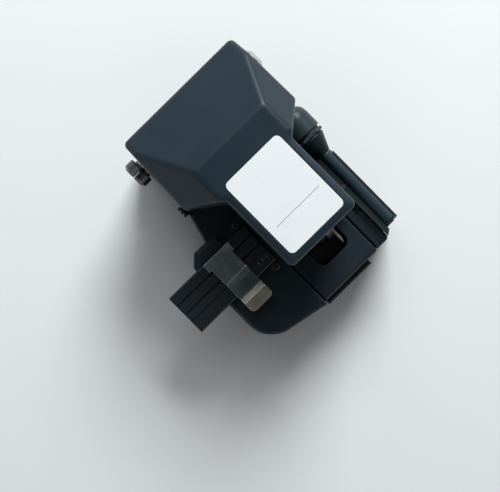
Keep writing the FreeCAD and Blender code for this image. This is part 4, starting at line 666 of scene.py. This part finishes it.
label_low, label_high = (0.0004, -0.0183), (0.0214, 0.0092)
label_corner = 0.0016
label_thickness = 0.00016
label_lift = 0.00002
label_edge = 0.00006
label_white, label_grime = (0.80, 0.81, 0.81), (0.68, 0.68, 0.66)
rule_y, rule_half, rule_ink = -0.0096, 0.00012, (0.33, 0.42, 0.42)
rule_start, rule_end = label_low[0] + 0.0024, label_high[0] - 0.0019
hood_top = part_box("lever_hood")[1][2]
half = [(b - a) / 2 for a, b in zip(label_low, label_high)]
middle = [(b + a) / 2 for a, b in zip(label_low, label_high)]
label = skin("label_sticker", np.stack([
    rounded_ring(half[0], half[1], label_corner, middle, hood_top + label_lift),
    rounded_ring(half[0], half[1], label_corner, middle,
                 hood_top + label_thickness - label_edge),
    rounded_ring(half[0] - label_edge, half[1] - label_edge, label_corner - label_edge, middle,
                 hood_top + label_thickness)]))
vinyl = new_material("label_vinyl", label_white, roughness=0.5, specular=0.1)
place = own_place(vinyl)
rule = product(vinyl, on_line(vinyl, place["Y"], rule_y, rule_half),
               within(vinyl, place["X"], rule_start, rule_end))
grime = noise(vinyl, scale=130.0, detail=5.0)
grimy = between(vinyl, grime, low=0.0, high=0.3, start=0.5, end=0.8)
tone = mixed(vinyl, grimy, label_white, label_grime)
drive(vinyl, "Base Color", mixed(vinyl, rule, tone, rule_ink))
gloss = noise(vinyl, scale=180.0, detail=3.0)
drive(vinyl, "Roughness", between(vinyl, gloss, low=0.48, high=0.6))
drive(vinyl, "Normal", relief(vinyl, noise(vinyl, scale=700.0, detail=3.0), depth=4e-6))
label.data.materials.append(vinyl)
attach(label, "lever")


# ---- Floor, lights and camera ----
# Pale sweep under three soft lamps and a graded pale surround, seen from straight above
# with the tool turned on it.
floor_half = 2.0
floor_pale, floor_paler = (0.80, 0.80, 0.79), (0.82, 0.82, 0.81)
floor_mesh = bpy.data.meshes.new("floor")
floor_corners = [(-floor_half, -floor_half, 0), (floor_half, -floor_half, 0),
                 (floor_half, floor_half, 0), (-floor_half, floor_half, 0)]
floor_mesh.from_pydata(floor_corners, [], [(0, 1, 2, 3)])
floor = bpy.data.objects.new("floor", floor_mesh)
bpy.context.collection.objects.link(floor)
paper = new_material("floor_paper", floor_pale, roughness=0.9)
clouds = between(paper, noise(paper, scale=9.0, detail=3.0), low=0.0, high=1.0)
drive(paper, "Base Color", mixed(paper, clouds, floor_pale, floor_paler))
floor_mesh.materials.append(paper)


def lamp(name, place, target, size, power, colour):
    """Square soft lamp at place, turned towards target."""
    data = bpy.data.lights.new(name, "AREA")
    data.size = size
    data.energy = power
    data.color = colour
    lamp_object = bpy.data.objects.new(name, data)
    bpy.context.collection.objects.link(lamp_object)
    lamp_object.location = place
    toward = np.array(target) - np.array(place)
    level = math.hypot(toward[0], toward[1])
    lamp_object.rotation_euler = (math.atan2(level, -toward[2]), 0,
                                  math.atan2(-toward[0], toward[1]))


lamp("key_lamp", place=(0.60, 0.38, 0.58), target=(0, 0, 0.02), size=0.36, power=9.6,
     colour=(0.93, 0.98, 1.0))
lamp("sky_lamp", place=(0.30, 0.55, 0.85), target=(0, 0, 0.03), size=0.7, power=2.4,
     colour=(0.90, 0.96, 1.0))
lamp("fill_lamp", place=(-0.5, -0.6, 0.5), target=(0, 0, 0.02), size=0.6, power=0.35,
     colour=(0.95, 0.97, 1.0))

surround_light = 0.2
surround_low, surround_high = 0.9, 0.1
world = bpy.data.worlds.new("studio")
bpy.context.scene.world = world
world.use_nodes = True
ambient = world.node_tree.nodes["Background"]
ambient.inputs["Color"].default_value = (0.88, 0.91, 0.95, 1)
rays = add_node(world, "LightPath", {}).outputs
seen = add_node(world, "Math", {0: rays["Is Camera Ray"], 1: rays["Is Glossy Ray"]},
                operation="MAXIMUM")
seen = add_node(world, "Math", {0: seen.outputs[0], 1: rays["Is Transmission Ray"]},
                operation="MAXIMUM")
sight = add_node(world, "TexCoord", {}).outputs["Generated"]
upward = add_node(world, "SeparateXYZ", {"Vector": sight}).outputs["Z"]
backdrop = between(world, upward, surround_low, surround_high, start=0.1, end=0.7)
shown = add_node(world, "Mix", {0: seen.outputs[0], 2: surround_light, 3: backdrop}).outputs[0]
world.node_tree.links.new(shown, ambient.inputs["Strength"])

camera_data = bpy.data.cameras.new("camera")
camera_data.sensor_fit = "HORIZONTAL"
camera_data.sensor_width = 36.0
camera_data.lens = 87.9
camera_data.clip_start = 0.01
camera_data.clip_end = 20.0
camera = bpy.data.objects.new("camera", camera_data)
bpy.context.collection.objects.link(camera)
camera.location = (-0.0062, -0.00805, 0.400)
camera.rotation_euler = (0, 0, math.radians(-44.6))
bpy.context.scene.camera = camera
bpy.context.scene.view_settings.view_transform = "Standard"
